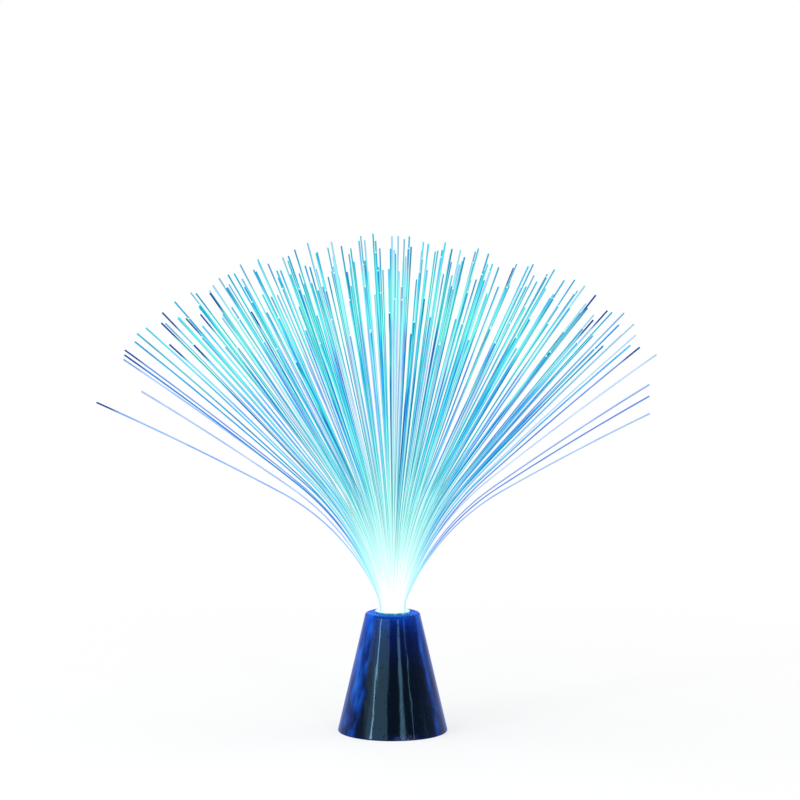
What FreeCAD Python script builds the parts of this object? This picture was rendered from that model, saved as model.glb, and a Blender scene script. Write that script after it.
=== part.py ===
"""Fibre optic table lamp: a spray of light-guiding fibres on a battery-powered cone.

Millimetres, +Z up. The origin is the centre of the rim that the cone stands on.
"""
import FreeCAD, Part
import math
import os
import random

import Sketcher
from FreeCAD import Placement, Rotation, Vector

doc = FreeCAD.newDocument("fibre_optic_lamp")

# ---------------------------------------------------------------- driving dimensions

SIZES = {
    # how far a cut or a pad runs past the face that it meets
    "overrun": 1.0,
    # the cone and what closes it
    "base_radius": 36.0,
    "shoulder_radius": 17.7,
    "housing_height": 78.4,
    "housing_wall": 1.6,
    "top_thickness": 2.0,
    "shoulder_round": 2.0,
    "rim_round": 0.7,
    "plate_recess": 2.0,
    "plate_thickness": 1.8,
    "plate_gap": 0.3,
    "boss_radius": 2.75,
    "boss_inset": 5.6,
    "boss_sink": 1.0,
    "rear_boss_angle": 48.0,
    # self-tapping screws
    "plate_screw_radius": 1.2,
    "plate_screw_length": 8.0,
    "board_screw_radius": 0.8,
    "board_screw_length": 6.0,
    "pilot_gap": 0.05,
    "hole_gap": 0.3,
    # three AAA cells, side by side
    "cell_radius": 5.25,
    "cell_length": 44.5,
    "cell_edge": 0.6,
    "nub_radius": 1.9,
    "nub_length": 1.0,
    "cell_spacing": 0.3,
    "cell_gap": 0.4,
    "spring_room": 3.2,
    "contact_thickness": 0.4,
    "contact_width": 5.6,
    "contact_side_gap": 0.05,
    "contact_spring_wire": 0.3,
    "coil_slack": 0.05,
    "contact_drop": 3.85,
    "contact_height": 8.0,
    "tab_width": 2.4,
    "tab_height": 4.2,
    # the tray that holds the cells
    "tray_back": 1.0,
    "tray_wall": 1.4,
    "ledge": 0.5,
    # the battery door
    "door_thickness": 1.6,
    "door_gap": 0.2,
    "knuckle_gap": 0.25,
    "hinge_side_gap": 0.6,
    "hinge_pin_radius": 0.8,
    "hinge_pin_gap": 0.05,
    "lug_offset": 8.0,
    "lug_width": 4.0,
    "ear_width": 1.6,
    "ear_rise": 1.9,
    "latch_width": 8.0,
    "latch_reach": 3.6,
    "latch_rise": 1.5,
    "latch_root": 0.2,
    "latch_inset": 1.0,
    "latch_thickness": 1.0,
    "thumb_radius": 4.0,
    "thumb_depth": 0.8,
    # the push switch
    "button_radius": 4.0,
    "button_gap": 0.2,
    "button_out": 1.2,
    "button_travel": 1.5,
    "button_dish": 0.25,
    "button_land": 0.5,
    "button_edge": 0.4,
    "button_face": 1.8,
    "button_flange": 0.8,
    "button_flange_thickness": 1.0,
    "switch_side": 8.5,
    "switch_height": 9.0,
    "switch_corner": 0.4,
    "switch_wall": 1.0,
    "switch_bore": 2.8,
    "plunger_radius": 1.6,
    "plunger_head": 2.4,
    "plunger_head_thickness": 1.0,
    "spring_guide_radius": 1.1,
    "spring_guide_height": 1.2,
    "switch_pin_spacing": 5.0,
    "switch_pin_radius": 0.5,
    "switch_pin_height": 3.0,
    "tower_gap": 0.3,
    "tower_wall": 1.2,
    "tower_stand_off": 0.8,
    "clip_thickness": 1.35,
    "clip_width": 4.0,
    "clip_bite": 0.5,
    "spring_wire": 0.2,
    # the light head
    "fibre_radius": 0.44,
    "fibre_gap": 0.05,
    "bundle_radius": 8.0,
    "bundle_drop": 3.5,
    "ferrule_gap": 0.12,
    "ferrule_wall": 0.6,
    "ferrule_play": 0.2,
    "collar_gap": 0.1,
    "collar_wall": 1.15,
    "collar_radius": 11.4,
    "collar_flange": 1.2,
    "collar_edge": 0.35,
    "collar_lip": 3.4,
    "collar_depth": 28.4,
    "cup_wall": 2.5,
    "cup_overlap": 10.0,
    "cup_ledge": 0.8,
    "led_gap": 2.3,
    "board_thickness": 1.6,
    "led_radius": 2.5,
    "led_height": 8.6,
    "led_flange": 0.4,
    "led_flange_thickness": 1.0,
    "led_pin_stub": 1.5,
    "led_circle": 4.0,
    "led_pin_spacing": 2.54,
    "led_pin_radius": 0.25,
    "resistor_radius": 1.1,
    "resistor_length": 6.0,
    "resistor_cap_swell": 0.15,
    "resistor_stand_off": 0.6,
    "resistor_leg_radius": 0.3,
    "resistor_leg_out": 1.2,
    "lead_radius": 0.6,
    # the spray
    "neck_rise": 2.4,
    "fibre_reach": 244.0,
    "fibre_trim": 0.07,
    "lean_sideways": 54.0,
    "lean_depth": 45.0,
    "neck_share": 0.36,
    "neck_bend": 16.0,
    "spread_share": 0.58,
    "spread_length": 95.0,
    "lean_scatter": 1.2,
    "turn_scatter": 2.2,
}

sizes = doc.addObject("Spreadsheet::Sheet", "sizes")
for row, (alias, value) in enumerate(SIZES.items(), start=1):
    sizes.set(f"A{row}", alias)
    sizes.set(f"B{row}", str(value))
    sizes.setAlias(f"B{row}", alias)

# Places and fits that follow from the driving dimensions.
PLACES = {
    "cone_slope": "(sizes.base_radius - sizes.shoulder_radius) / sizes.housing_height",
    "cavity_radius": "sizes.base_radius - sizes.housing_wall",
    "cavity_top": "sizes.housing_height - sizes.top_thickness",
    "cavity_top_radius": "cavity_radius - cone_slope * cavity_top",
    "plate_top": "sizes.plate_recess + sizes.plate_thickness",
    "plate_radius": "cavity_radius - cone_slope * plate_top - sizes.plate_gap",
    "boss_circle": "plate_radius + sizes.plate_gap - sizes.boss_inset",
    "boss_top": "(cavity_radius - boss_circle + sizes.boss_radius) / cone_slope + sizes.boss_sink",
    # battery tray
    "tray_y": "-sizes.tray_back",
    "cavity_half_x": "(sizes.cell_length + sizes.spring_room) / 2 + sizes.contact_thickness",
    "cell_pitch": "2 * sizes.cell_radius + sizes.cell_spacing",
    "cavity_half_y": "cell_pitch + sizes.cell_radius + sizes.cell_gap",
    "contact_half": "sizes.contact_width / 2 + sizes.contact_side_gap",
    "tray_corner": "sizes.cell_radius + sizes.cell_gap - contact_half",
    "opening_half_x": "cavity_half_x + sizes.ledge",
    "opening_half_y": "cavity_half_y + sizes.ledge",
    "tray_half_x": "cavity_half_x + sizes.tray_wall",
    "tray_half_y": "cavity_half_y + sizes.tray_wall",
    "door_top": "sizes.plate_recess + sizes.door_thickness",
    "ledge_z": "door_top + sizes.door_gap / 2",
    "door_way_top": "max(plate_top; ledge_z)",
    "cell_z": "door_top + sizes.cell_gap + sizes.cell_radius",
    "roof_z": "cell_z + sizes.cell_radius + sizes.cell_gap",
    "tray_top": "roof_z + sizes.tray_wall",
    "tab_top": "roof_z + sizes.tab_height",
    "contact_x": "cavity_half_x - sizes.contact_thickness / 2",
    "contact_bottom": "cell_z - sizes.contact_drop",
    # door hinge and latch
    "hinge_x": "-tray_half_x - sizes.door_thickness - sizes.knuckle_gap",
    "hinge_z": "door_top",
    "ear_hole": "sizes.hinge_pin_radius + sizes.hinge_pin_gap",
    "ear_top": "door_top + sizes.ear_rise",
    "latch_end": "opening_half_x + sizes.latch_reach",
    # switch
    "button_bottom": "sizes.plate_recess - sizes.button_out",
    "flange_bottom": "plate_top + sizes.tower_gap",
    "flange_top": "flange_bottom + sizes.button_flange_thickness",
    "flange_radius": "sizes.button_radius + sizes.button_flange",
    "switch_bottom": "flange_top + sizes.button_travel + sizes.tower_gap",
    "switch_top": "switch_bottom + sizes.switch_height",
    "tower_bore": "flange_radius + sizes.tower_gap",
    "tower_radius": "tower_bore + sizes.tower_wall",
    "switch_y": "tray_y + tray_half_y + sizes.tower_stand_off + tower_radius",
    "plunger_head_z": "switch_bottom + sizes.switch_wall + sizes.button_gap",
    "spring_top": "switch_top - sizes.switch_wall",
    # light head
    "fibre_pitch": "2 * sizes.fibre_radius + sizes.fibre_gap",
    "ferrule_bore": "sizes.bundle_radius + sizes.fibre_radius + sizes.ferrule_gap",
    "ferrule_radius": "ferrule_bore + sizes.ferrule_wall",
    "collar_bore": "ferrule_radius + sizes.collar_gap",
    "collar_tube": "collar_bore + sizes.collar_wall",
    "collar_top": "sizes.housing_height + sizes.collar_flange",
    "collar_bottom": "sizes.housing_height - sizes.collar_depth",
    "lip_bottom": "collar_top - sizes.collar_lip",
    "ferrule_top": "lip_bottom - sizes.ferrule_play",
    "bundle_bottom": "collar_bottom - sizes.bundle_drop",
    "neck": "collar_top + sizes.neck_rise",
    "lip_radius": "ferrule_bore + sizes.ferrule_gap",
    "cup_bore": "collar_tube + sizes.collar_gap",
    "cup_radius": "cup_bore + sizes.cup_wall",
    "cup_light": "cup_bore - sizes.cup_ledge",
    "cup_step": "collar_bottom - sizes.collar_gap",
    "cup_top": "collar_bottom + sizes.cup_overlap",
    "board_top": "bundle_bottom - sizes.led_gap - sizes.led_height",
    "board_bottom": "board_top - sizes.board_thickness",
    "board_screw_circle": "(cup_light + cup_radius) / 2",
}

places = doc.addObject("Spreadsheet::Sheet", "places")
for row, (alias, formula) in enumerate(PLACES.items(), start=1):
    places.set(f"A{row}", alias)
    places.set(f"B{row}", "=" + formula)
    places.setAlias(f"B{row}", alias)
doc.recompute()


def number(expression):
    """The value of an expression over the two sheets."""
    return float(sizes.evalExpression(expression))


# ---------------------------------------------------------------- building helpers

sub_parts = {}


def sub_part(label, thing):
    """Name a finished piece; its label names its file."""
    thing.Label = label
    sub_parts[label] = thing
    return thing


def bind(thing, **expressions):
    for name, expression in expressions.items():
        thing.setExpression(name, expression)


def place(thing, x="0", y="0", z="0", rotation=None):
    """Put a piece somewhere by expressions, with a fixed rotation."""
    thing.Placement = Placement(Vector(number(x), number(y), number(z)), rotation or Rotation())
    for axis, expression in (("x", x), ("y", y), ("z", z)):
        thing.setExpression("Placement.Base." + axis, expression)
    return thing


def new_body(name):
    return doc.addObject("PartDesign::Body", name)


def new_sketch(body, plane="XY_Plane", level="0"):
    """A sketch on one of the body's own origin planes, raised by an expression."""
    sketch = body.newObject("Sketcher::SketchObject", body.Name + "_sketch")
    support = next(f for f in body.Origin.OriginFeatures if f.Role == plane)
    sketch.AttachmentSupport = [(support, "")]
    sketch.MapMode = "FlatFace"
    sketch.setExpression("AttachmentOffset.Base.z", level)
    return sketch


def pin_down(sketch, geometry, point, x, y):
    """Hold one point of a sketch at two expressions."""
    for kind, expression in (("DistanceX", x), ("DistanceY", y)):
        index = sketch.addConstraint(
            Sketcher.Constraint(kind, -1, 1, geometry, point, number(expression))
        )
        sketch.setExpression(f"Constraints[{index}]", expression)


def draw_outline(sketch, corners):
    """A closed outline of straight lines; each corner is a pair of expressions."""
    spots = [Vector(number(x), number(y), 0) for x, y in corners]
    count = len(corners)
    lines = [
        sketch.addGeometry(Part.LineSegment(spots[i], spots[(i + 1) % count]))
        for i in range(count)
    ]
    for i, (x, y) in enumerate(corners):
        sketch.addConstraint(
            Sketcher.Constraint("Coincident", lines[i - 1], 2, lines[i], 1)
        )
        pin_down(sketch, lines[i], 1, x, y)


def draw_box(sketch, x_low, x_high, y_low, y_high):
    draw_outline(sketch, [(x_low, y_low), (x_high, y_low), (x_high, y_high), (x_low, y_high)])


def draw_circle(sketch, radius, x="0", y="0"):
    circle = Part.Circle(Vector(number(x), number(y), 0), Vector(0, 0, 1), number(radius))
    index = sketch.addGeometry(circle)
    size = sketch.addConstraint(Sketcher.Constraint("Radius", index, number(radius)))
    sketch.setExpression(f"Constraints[{size}]", radius)
    pin_down(sketch, index, 3, x, y)


def draw_rounded_box(sketch, x_middle, y_middle, half_x, half_y, corner):
    """A rectangle with rounded corners."""
    radius = number(corner)
    arcs = []
    for quarter, signs in enumerate(("++", "-+", "--", "+-")):
        x = f"{x_middle} {signs[0]} ({half_x} - ({corner}))"
        y = f"{y_middle} {signs[1]} ({half_y} - ({corner}))"
        start = quarter * math.pi / 2
        circle = Part.Circle(Vector(number(x), number(y), 0), Vector(0, 0, 1), radius)
        arcs.append(sketch.addGeometry(Part.ArcOfCircle(circle, start, start + math.pi / 2)))
        pin_down(sketch, arcs[-1], 3, x, y)
    for quarter, arc in enumerate(arcs):
        following = arcs[(quarter + 1) % 4]
        here = sketch.getPoint(arc, 2)
        there = sketch.getPoint(following, 1)
        line = sketch.addGeometry(Part.LineSegment(here, there))
        sketch.addConstraint(Sketcher.Constraint("Tangent", arc, 2, line, 1))
        sketch.addConstraint(Sketcher.Constraint("Tangent", line, 2, following, 1))
    size = sketch.addConstraint(Sketcher.Constraint("Radius", arcs[0], radius))
    sketch.setExpression(f"Constraints[{size}]", corner)
    for arc in arcs[1:]:
        sketch.addConstraint(Sketcher.Constraint("Equal", arcs[0], arc))


def pad(body, sketch, length):
    feature = body.newObject("PartDesign::Pad", body.Name + "_pad")
    feature.Profile = sketch
    feature.setExpression("Length", length)
    doc.recompute()
    return feature


def pocket(body, sketch, length):
    """Cut upwards from the sketch."""
    before = body.Shape.Volume
    feature = body.newObject("PartDesign::Pocket", body.Name + "_pocket")
    feature.Profile = sketch
    feature.Reversed = True
    feature.setExpression("Length", length)
    doc.recompute()
    if feature.Shape.Volume > before - 1e-6:
        raise ValueError("a pocket cuts nothing from " + body.Name)
    return feature


def spin(body, kind, corners):
    """Turn an outline of (radius, height) corners about the body's Z axis."""
    sketch = new_sketch(body, "XZ_Plane")
    draw_outline(sketch, corners)
    feature = body.newObject("PartDesign::" + kind, body.Name + "_" + kind.lower())
    feature.Profile = sketch
    feature.ReferenceAxis = (sketch, ["V_Axis"])
    feature.Angle = 360.0
    doc.recompute()
    return feature


def turned(name, corners):
    """A turned piece: one closed outline round the Z axis."""
    body = new_body(name)
    spin(body, "Revolution", corners)
    return body


def tube_corners(inner, outer, low, high):
    return [(inner, low), (outer, low), (outer, high), (inner, high)]


def round_circles(body, radius, level, fillet):
    """Round the circular edges of a body that have this radius at this height."""
    want_r, want_z = number(radius), number(level)
    names = []
    for i, edge in enumerate(body.Shape.Edges, start=1):
        if isinstance(edge.Curve, Part.Circle):
            centre = edge.Curve.Center
            if abs(edge.Curve.Radius - want_r) < 1e-4 and abs(centre.z - want_z) < 1e-4:
                names.append(f"Edge{i}")
    if not names:
        raise ValueError("no edge to round on " + body.Name)
    base = body.Tip
    feature = body.newObject("PartDesign::Fillet", body.Name + "_fillet")
    feature.Base = (base, names)
    feature.setExpression("Radius", fillet)
    doc.recompute()
    return feature


def cylinder(name, radius, height, x="0", y="0", z="0", rotation=None):
    thing = doc.addObject("Part::Cylinder", name)
    bind(thing, Radius=radius, Height=height)
    return place(thing, x, y, z, rotation)


def box(name, x_low, x_high, y_low, y_high, z_low, z_high):
    thing = doc.addObject("Part::Box", name)
    bind(
        thing,
        Length=f"({x_high}) - ({x_low})",
        Width=f"({y_high}) - ({y_low})",
        Height=f"({z_high}) - ({z_low})",
    )
    return place(thing, x_low, y_low, z_low)


def fuse(name, things):
    thing = doc.addObject("Part::MultiFuse", name)
    thing.Shapes = things
    return thing


def cut(name, base, tool):
    thing = doc.addObject("Part::Cut", name)
    thing.Base = base
    thing.Tool = tool
    return thing


def group(name, things):
    """Separate solids that share one file."""
    thing = doc.addObject("Part::Compound", name)
    thing.Links = things
    return thing


def shaped(name, shape, placement=Placement()):
    """A piece whose path only Part's own functions can sweep."""
    thing = doc.addObject("Part::Feature", name)
    thing.Shape = shape
    thing.Placement = placement
    return thing


ALONG_X = Rotation(Vector(0, 1, 0), 90)
AGAINST_X = Rotation(Vector(0, 1, 0), -90)
ALONG_Y = Rotation(Vector(1, 0, 0), -90)

# ---------------------------------------------------------------- housing


def boss_spots():
    """The three screw bosses: two behind the battery tray and one before it."""
    x = "places.boss_circle * cos(sizes.rear_boss_angle)"
    y = "places.boss_circle * sin(sizes.rear_boss_angle)"
    return [(x, y), (f"-{x}", y), ("0", "-places.boss_circle")]


def make_housing():
    """A cone moulded in one piece, with its bosses grown into the sloping wall."""
    outside = turned(
        "housing_outside",
        [
            ("0", "0"),
            ("sizes.base_radius", "0"),
            ("sizes.shoulder_radius", "sizes.housing_height"),
            ("0", "sizes.housing_height"),
        ],
    )
    round_circles(outside, "sizes.shoulder_radius", "sizes.housing_height", "sizes.shoulder_round")
    round_circles(outside, "sizes.base_radius", "0", "sizes.rim_round")
    core = doc.addObject("Part::Cone", "housing_core")
    bind(
        core,
        Radius1="places.cavity_radius",
        Radius2="places.cavity_top_radius",
        Height="places.cavity_top",
    )
    bosses = [
        cylinder(
            "housing_boss",
            "sizes.boss_radius",
            "places.boss_top - places.plate_top",
            x,
            y,
            "places.plate_top",
        )
        for x, y in boss_spots()
    ]
    hollow = cut("housing_hollow", core, fuse("housing_bosses", bosses))
    pilots = [
        cylinder(
            "housing_pilot",
            "sizes.plate_screw_radius + sizes.pilot_gap",
            "sizes.plate_screw_length + sizes.plate_thickness",
            x,
            y,
            "sizes.plate_recess",
        )
        for x, y in boss_spots()
    ]
    bore = cylinder(
        "housing_bore",
        "places.collar_tube + sizes.collar_gap",
        "2 * sizes.top_thickness",
        z="places.cavity_top - sizes.top_thickness",
    )
    sub_part("housing_cone", cut("housing", outside, fuse("housing_cuts", [hollow, bore] + pilots)))


# ---------------------------------------------------------------- base plate and door


def lug_sides():
    """The lower side of each of the two hinge lugs."""
    return [
        f"places.tray_y {sign} sizes.lug_offset - sizes.lug_width / 2" for sign in ("-", "+")
    ]


def add_tray(body):
    """The battery tray, open below, with a ledge that stops the door."""
    sketch = new_sketch(body, level="sizes.plate_recess")
    outer_corner = "places.tray_corner + sizes.tray_wall"
    draw_rounded_box(
        sketch, "0", "places.tray_y", "places.tray_half_x", "places.tray_half_y", outer_corner
    )
    pad(body, sketch, "places.tray_top - sizes.plate_recess")
    sketch = new_sketch(body, level="places.ledge_z - sizes.overrun")
    draw_rounded_box(
        sketch,
        "0",
        "places.tray_y",
        "places.cavity_half_x",
        "places.cavity_half_y",
        "places.tray_corner",
    )
    pocket(body, sketch, "places.roof_z - places.ledge_z + sizes.overrun")
    sketch = new_sketch(body)
    opening_corner = "places.tray_corner + sizes.ledge"
    draw_rounded_box(
        sketch,
        "0",
        "places.tray_y",
        "places.opening_half_x",
        "places.opening_half_y",
        opening_corner,
    )
    pocket(body, sketch, "places.ledge_z")


def add_hinge_ears(body):
    """Two pairs of ears on the plate, with a slot between them for each lug."""
    knuckle = "sizes.door_thickness + sizes.door_gap"
    sketch = new_sketch(body, level="places.plate_top")
    for side in lug_sides():
        ears = "sizes.ear_width + sizes.door_gap"
        draw_box(
            sketch,
            f"places.hinge_x - ({knuckle})",
            "-places.tray_half_x + sizes.tray_wall / 2",
            f"{side} - ({ears})",
            f"{side} + sizes.lug_width + {ears}",
        )
    pad(body, sketch, "places.ear_top - places.plate_top")
    sketch = new_sketch(body)
    for side in lug_sides():
        draw_box(
            sketch,
            f"places.hinge_x - ({knuckle})",
            "-places.opening_half_x + sizes.overrun",
            f"{side} - sizes.door_gap",
            f"{side} + sizes.lug_width + sizes.door_gap",
        )
    pocket(body, sketch, "places.door_way_top")
    sketch = new_sketch(body, level="places.plate_top - sizes.overrun")
    for side in lug_sides():
        draw_box(
            sketch,
            f"places.hinge_x - ({knuckle}) - sizes.overrun",
            "-places.tray_half_x",
            f"{side} - sizes.door_gap",
            f"{side} + sizes.lug_width + sizes.door_gap",
        )
    pocket(body, sketch, "places.ear_top - places.plate_top + 2 * sizes.overrun")


def add_switch_tower(body):
    """A round tower that guides the button, and two clips that hold the switch."""
    sketch = new_sketch(body, level="places.plate_top")
    draw_circle(sketch, "places.tower_radius", y="places.switch_y")
    pad(body, sketch, "places.switch_bottom - places.plate_top")
    hook = "sizes.switch_side / 2 + sizes.button_gap"
    clip_foot = "places.tower_bore"
    for sign in ("", "-"):
        sketch = new_sketch(body, "XZ_Plane", "-places.switch_y - sizes.clip_width / 2")
        draw_outline(
            sketch,
            [
                (f"{sign}({clip_foot})", "places.plate_top"),
                (f"{sign}({clip_foot} + sizes.tower_wall)", "places.plate_top"),
                (f"{sign}({hook} + sizes.clip_thickness)", "places.switch_top + sizes.clip_thickness"),
                (f"{sign}({hook})", "places.switch_top + sizes.clip_thickness"),
                (f"{sign}({hook} - sizes.clip_bite)", "places.switch_top + sizes.button_gap"),
                (f"{sign}({hook})", "places.switch_top + sizes.button_gap"),
                (f"{sign}({hook})", "places.switch_bottom"),
                (f"{sign}({clip_foot})", "places.switch_bottom - sizes.tower_gap"),
            ],
        )
        pad(body, sketch, "sizes.clip_width")
    sketch = new_sketch(body, level="places.plate_top - sizes.overrun")
    draw_circle(sketch, "places.tower_bore", y="places.switch_y")
    pocket(body, sketch, "places.switch_bottom - places.plate_top + sizes.overrun")


def make_base_plate():
    body = new_body("base_plate")
    sketch = new_sketch(body, level="sizes.plate_recess")
    draw_circle(sketch, "places.plate_radius")
    pad(body, sketch, "sizes.plate_thickness")
    add_tray(body)
    add_hinge_ears(body)
    add_switch_tower(body)
    sketch = new_sketch(body)
    for x, y in boss_spots():
        draw_circle(sketch, "sizes.plate_screw_radius + sizes.hole_gap", x, y)
    draw_circle(sketch, "sizes.button_radius + sizes.button_gap", y="places.switch_y")
    pocket(body, sketch, "places.plate_top")
    sketch = new_sketch(body, level="sizes.plate_recess - sizes.overrun")
    latch_half = "sizes.latch_width / 2 + sizes.door_gap"
    draw_box(
        sketch,
        "places.opening_half_x - sizes.overrun",
        "places.latch_end + sizes.door_gap",
        f"places.tray_y - ({latch_half})",
        f"places.tray_y + {latch_half}",
    )
    pocket(body, sketch, "places.door_way_top - sizes.plate_recess + sizes.overrun")
    sketch = new_sketch(body)
    draw_circle(sketch, "sizes.thumb_radius", "places.latch_end", "places.tray_y")
    pocket(body, sketch, "sizes.plate_recess + sizes.thumb_depth")
    cuts = [
        cylinder(
            "ear_hole",
            "places.ear_hole",
            "sizes.lug_width + 4 * sizes.ear_width",
            "places.hinge_x",
            f"{side} - 2 * sizes.ear_width",
            "places.hinge_z",
            ALONG_Y,
        )
        for side in lug_sides()
    ]
    slot_x = "sizes.contact_thickness / 2 + sizes.door_gap"
    slot_y = "sizes.tab_width / 2 + sizes.door_gap"
    for sign in ("-", "+"):
        middle_x = f"{sign} places.contact_x"
        middle_y = f"places.tray_y {sign} places.cell_pitch"
        cuts.append(
            box(
                "tab_slot",
                f"{middle_x} - ({slot_x})",
                f"{middle_x} + {slot_x}",
                f"{middle_y} - ({slot_y})",
                f"{middle_y} + {slot_y}",
                "places.roof_z - sizes.overrun",
                "places.tray_top + sizes.overrun",
            )
        )
    sub_part("base_plate", cut("plate", body, fuse("plate_cuts", cuts)))


def make_door():
    """A flush door with two lugs on stub pins, and a latch tongue at its free end."""
    body = new_body("battery_door")
    door_x = "places.opening_half_x - sizes.door_gap"
    hinge_edge = "places.opening_half_x - sizes.hinge_side_gap"
    sketch = new_sketch(body, level="sizes.plate_recess")
    draw_rounded_box(
        sketch,
        "(sizes.hinge_side_gap - sizes.door_gap) / 2",
        "places.tray_y",
        "places.opening_half_x - (sizes.hinge_side_gap + sizes.door_gap) / 2",
        "places.opening_half_y - sizes.door_gap",
        "places.tray_corner + sizes.ledge - sizes.door_gap",
    )
    pad(body, sketch, "sizes.door_thickness")
    sketch = new_sketch(body, level="sizes.plate_recess")
    for side in lug_sides():
        draw_box(
            sketch,
            "places.hinge_x",
            f"-({hinge_edge}) + sizes.overrun",
            side,
            f"{side} + sizes.lug_width",
        )
    draw_box(
        sketch,
        f"{door_x} - sizes.overrun",
        "places.latch_end",
        "places.tray_y - sizes.latch_width / 2",
        "places.tray_y + sizes.latch_width / 2",
    )
    pad(body, sketch, "sizes.door_thickness")
    sketch = new_sketch(body, level="places.door_top - sizes.latch_root")
    draw_box(
        sketch,
        "places.latch_end - sizes.latch_thickness",
        "places.latch_end",
        "places.tray_y - sizes.latch_width / 2 + sizes.latch_inset",
        "places.tray_y + sizes.latch_width / 2 - sizes.latch_inset",
    )
    pad(body, sketch, "sizes.latch_rise + sizes.latch_root")
    pieces = [body]
    for side in lug_sides():
        knuckle = cylinder(
            "door_knuckle",
            "sizes.door_thickness",
            "sizes.lug_width",
            "places.hinge_x",
            side,
            "places.hinge_z",
            ALONG_Y,
        )
        stub = cylinder(
            "door_stub",
            "sizes.hinge_pin_radius",
            "sizes.lug_width + 2 * (sizes.ear_width + sizes.door_gap)",
            "places.hinge_x",
            f"{side} - sizes.ear_width - sizes.door_gap",
            "places.hinge_z",
            ALONG_Y,
        )
        pieces += [knuckle, stub]
    sub_part("battery_door", fuse("door", pieces))


def add_cross_recess(body, level, half_length, half_width, depth):
    """The cross in a screw's head."""
    for half_x, half_y in ((half_length, half_width), (half_width, half_length)):
        sketch = new_sketch(body, level=level)
        draw_box(sketch, f"-({half_x})", half_x, f"-({half_y})", half_y)
        pocket(body, sketch, depth)


# A pan head's proportions, as shares of the thread's radius.
HEAD_RADIUS = 1.9
HEAD_HEIGHT = 1.1
HEAD_FLAT = 1.5
HEAD_SIDE = 0.6
RECESS_REACH = 1.1
RECESS_WIDTH = 0.25
RECESS_DEPTH = 0.6
POINT_RADIUS = 0.3


def make_screw(name, radius, length, x, y, z):
    """A pan-head screw driven upwards; its seat is at z."""
    head_radius = f"{radius} * {HEAD_RADIUS}"
    head_height = f"{radius} * {HEAD_HEIGHT}"
    body = turned(
        name,
        [
            ("0", f"-{head_height}"),
            (f"{radius} * {HEAD_FLAT}", f"-{head_height}"),
            (head_radius, f"-{radius} * {HEAD_SIDE}"),
            (head_radius, "0"),
            (radius, "0"),
            (radius, f"{length} - {radius}"),
            (f"{radius} * {POINT_RADIUS}", length),
            ("0", length),
        ],
    )
    add_cross_recess(
        body,
        f"-{head_height}",
        f"{radius} * {RECESS_REACH}",
        f"{radius} * {RECESS_WIDTH}",
        f"{radius} * {RECESS_DEPTH}",
    )
    return place(body, x, y, z)


def make_plate_screws():
    screws = [
        make_screw(
            "plate_screw",
            "sizes.plate_screw_radius",
            "sizes.plate_screw_length",
            x,
            y,
            "sizes.plate_recess",
        )
        for x, y in boss_spots()
    ]
    sub_part("plate_screws", group("plate_screw_set", screws))


# ---------------------------------------------------------------- batteries and contacts

# The cells lie side by side along X, each turned the other way from its neighbour.
CELL_SIGNS = (1, -1, 1)


def cell_y(index):
    return f"places.tray_y + {index - 1} * places.cell_pitch"


def make_cells():
    for index, sign in enumerate(CELL_SIGNS):
        can = "sizes.cell_length - sizes.nub_length"
        cell = turned(
            f"battery_cell_{index + 1}",
            [
                ("0", "0"),
                ("sizes.cell_radius - sizes.cell_edge", "0"),
                ("sizes.cell_radius", "sizes.cell_edge"),
                ("sizes.cell_radius", f"{can} - sizes.cell_edge"),
                ("sizes.cell_radius - sizes.cell_edge", can),
                ("sizes.nub_radius", can),
                ("sizes.nub_radius", "sizes.cell_length"),
                ("0", "sizes.cell_length"),
            ],
        )
        flat_end = "places.cavity_half_x - sizes.contact_thickness - sizes.spring_room"
        x = f"-({flat_end})" if sign > 0 else flat_end
        place(cell, x, cell_y(index), "places.cell_z", ALONG_X if sign > 0 else AGAINST_X)
        sub_part(cell.Name, cell)


def coil(turns, first_radius, last_radius, length, wire_radius):
    """A wire coil along +Z from the origin, as half turns that meet smoothly."""
    halves = 2 * turns
    spots = []
    for step in range(halves + 1):
        share = step / halves
        radius = first_radius + (last_radius - first_radius) * share
        side = 1 if step % 2 == 0 else -1
        spots.append(Vector(side * radius, 0, length * share))
    edges = []
    for step in range(halves):
        start, end = spots[step], spots[step + 1]
        middle = (start + end) * 0.5
        side = 1 if step % 2 == 0 else -1
        bulge = Vector(0, side * (end - start).Length / 2, 0)
        edges.append(Part.Arc(start, middle + bulge, end).toShape())
    section = Part.Circle(spots[0], Vector(0, 1, 0), wire_radius).toShape()
    return Part.Wire(edges).makePipe(Part.Face(Part.Wire([section])))


def end_strip(name, sign, y_low, y_high, z_low, z_high):
    """A flat strip of contact metal on one end wall of the tray."""
    inner = "places.cavity_half_x - sizes.contact_thickness"
    outer = "places.cavity_half_x"
    x_low, x_high = (inner, outer) if sign > 0 else (f"-{outer}", f"-({inner})")
    return box(name, x_low, x_high, y_low, y_high, z_low, z_high)


def contact(name, sign, low_cell, high_cell):
    return end_strip(
        name,
        sign,
        f"{cell_y(low_cell)} - sizes.contact_width / 2",
        f"{cell_y(high_cell)} + sizes.contact_width / 2",
        "places.contact_bottom",
        "places.contact_bottom + sizes.contact_height",
    )


def solder_tab(name, sign, cell):
    return end_strip(
        name,
        sign,
        f"{cell_y(cell)} - sizes.tab_width / 2",
        f"{cell_y(cell)} + sizes.tab_width / 2",
        "places.contact_bottom + sizes.contact_height / 2",
        "places.tab_top",
    )


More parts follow.
